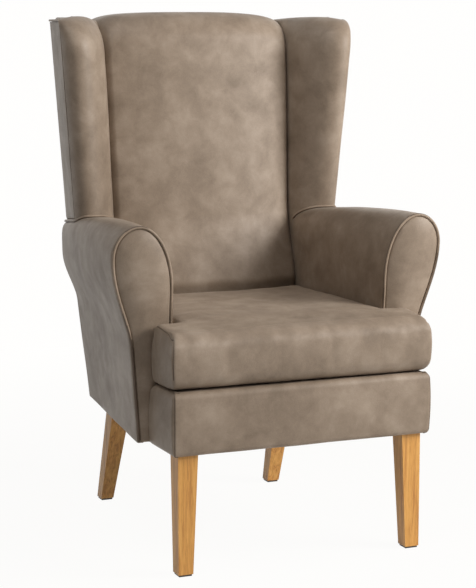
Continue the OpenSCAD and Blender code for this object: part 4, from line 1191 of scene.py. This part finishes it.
for side, word in ((-1, "left"), (1, "right")):
    for make, slot, name, fill, soft in (
            (armCover, "upholstery", "arm_pad_", 0.85, (110, 1.1, 1 + side)),
            (facing, "upholstery", "arm_facing_", 0.7, None),
            (armPiping, "piping", "arm_piping_", None, None),
            (wingCover, "upholstery", "wing_pad_", 0.8, (120, 1.2, 4 + side)),
            (outsideWing, "upholstery", "outside_wing_", 0.3, None),
            (wingPiping, "piping", "wing_piping_", None, None),
            (footPiping, "piping", "wing_foot_piping_", None, None)):
        finishPiece(make(side), slot, (name + word,), soft)
print("stage: arms and wings made")

finishPiece(insideBack(), "upholstery", ("inside_back",), (130, 1.6, 7))
finishPiece(outsideBack(), "upholstery", ("outside_back",))
finishPiece(frontBorder(), "upholstery", ("front_border",), (90, 1.0, 9))
finishPiece(seatDeck(), "black_lining", ("seat_platform",))
finishPiece(puffOut(seatCushion()), "upholstery", ("seat_cushion_cover", "seat_cushion_foam"),
            (110, 1.8, 11), "cushion")
print("stage: back, border and cushion made")

slots = {part["node"]: part["material_slot"] for part in frame["record"]["subparts"]}
for name, obj in frame["nodes"].items():
    obj.data.materials.clear()
    obj.data.materials.append(finishes[slots[name]])
    if "leg_left" in name or "leg_right" in name:
        bevel = obj.modifiers.new("softEdge", "BEVEL")
        bevel.width, bevel.segments, bevel.limit_method = 0.0012, 3, "ANGLE"
        bevel.harden_normals = True

# Camera, fitted to the photograph
view = {"place": (-1.47596, -3.47867, 1.0712), "yaw": 22.9968, "pitch": -8.5629, "lens": 108.80}


def makeCamera():
    data = bpy.data.cameras.new("photoCamera")
    data.lens, data.sensor_width = view["lens"], 36
    camera = addObject("photoCamera", data)
    turn = Euler((radians(90 + view["pitch"]), 0, -radians(view["yaw"])))
    camera.matrix_world = Matrix.Translation(view["place"]) @ turn.to_matrix().to_4x4()
    bpy.context.scene.camera = camera


def softBox(name, place, aim, size, power, colour):
    data = bpy.data.lights.new(name, "AREA")
    data.shape, data.size, data.size_y = "RECTANGLE", *size
    data.energy, data.color = power, colour
    lamp = addObject(name, data)
    lamp.location = place
    lamp.rotation_euler = (Vector(aim) - Vector(place)).to_track_quat("-Z", "Y").to_euler()


# where each lamp is, what it points at, its size, power and colour
lamps = {
    "key": ((1.9, -2.4, 1.8), (0.1, 0, 0.7), (1.1, 1.1), 32, (1.0, 0.98, 0.95)),
    "side": ((2.0, -1.3, 1.55), (0, 0, 0.75), (0.7, 1.3), 52, (1.0, 0.98, 0.95)),
    "fill": ((-3.4, -2.6, 1.4), (0, 0, 0.5), (2.4, 2.4), 0.5, (0.96, 0.97, 1.0)),
    "top": ((-0.9, -0.8, 2.7), (0, 0, 0.7), (1.2, 1.2), 17, (1, 1, 1)),
}
studio = {"ambient": 0.05, "paper": (1, 0.995, 0.985, 1), "floor": (0.8, 0.795, 0.785, 1),
          "floorSize": 30000, "floorZ": -0.0005, "floorGlow": 0.96, "glowFrom": 0.7,
          "glowFull": 2.2}


def paleRays(tree):
    # the rays that see the pale background: from the camera, off gloss and through glass
    seen = node(tree, "LightPath").outputs
    rays = seen["Is Camera Ray"]
    for other in ("Is Glossy Ray", "Is Transmission Ray"):
        rays = node(tree, "Math", rays, seen[other], operation="MAXIMUM")
    return rays


def makeWorld():
    world = bpy.data.worlds.new("studio")
    bpy.context.scene.world = world
    world.use_nodes = True
    tree = world.node_tree
    level = node(tree, "MapRange", paleRays(tree), 0, 1, studio["ambient"], 1)
    feed(tree, tree.nodes["Background"].inputs["Strength"], level)
    feed(tree, tree.nodes["Background"].inputs["Color"], studio["paper"])


def makeFloor():
    # near the chair the floor shows its own light and shadow a little, and far off it is pale
    size = studio["floorSize"]
    floor = gridObject("floor", [[(-size, -size, 0), (size, -size, 0)],
                                 [(-size, size, 0), (size, size, 0)]])
    floor.location.z = studio["floorZ"]
    made, tree, bsdf = newMaterial("paleFloor", Roughness=0.9, **{"Base Color": studio["floor"]})
    glow = node(tree, "Emission", Color=studio["paper"], Strength=1.0)
    far = node(tree, "VectorMath", objectPlace(tree), operation="LENGTH").outputs["Value"]
    near = node(tree, "MapRange", far, studio["glowFrom"], studio["glowFull"],
                studio["floorGlow"], 1, interpolation_type="SMOOTHSTEP")
    share = node(tree, "Math", near, paleRays(tree), operation="MULTIPLY")
    feed(tree, tree.nodes["Material Output"].inputs["Surface"],
         node(tree, "MixShader", share, bsdf, glow))
    floor.data.materials.append(made)


makeCamera()
for name, values in lamps.items():
    softBox(name, *values)
makeWorld()
makeFloor()
bpy.context.scene.view_settings.view_transform = "Standard"
print("stage: camera, lamps and floor made")
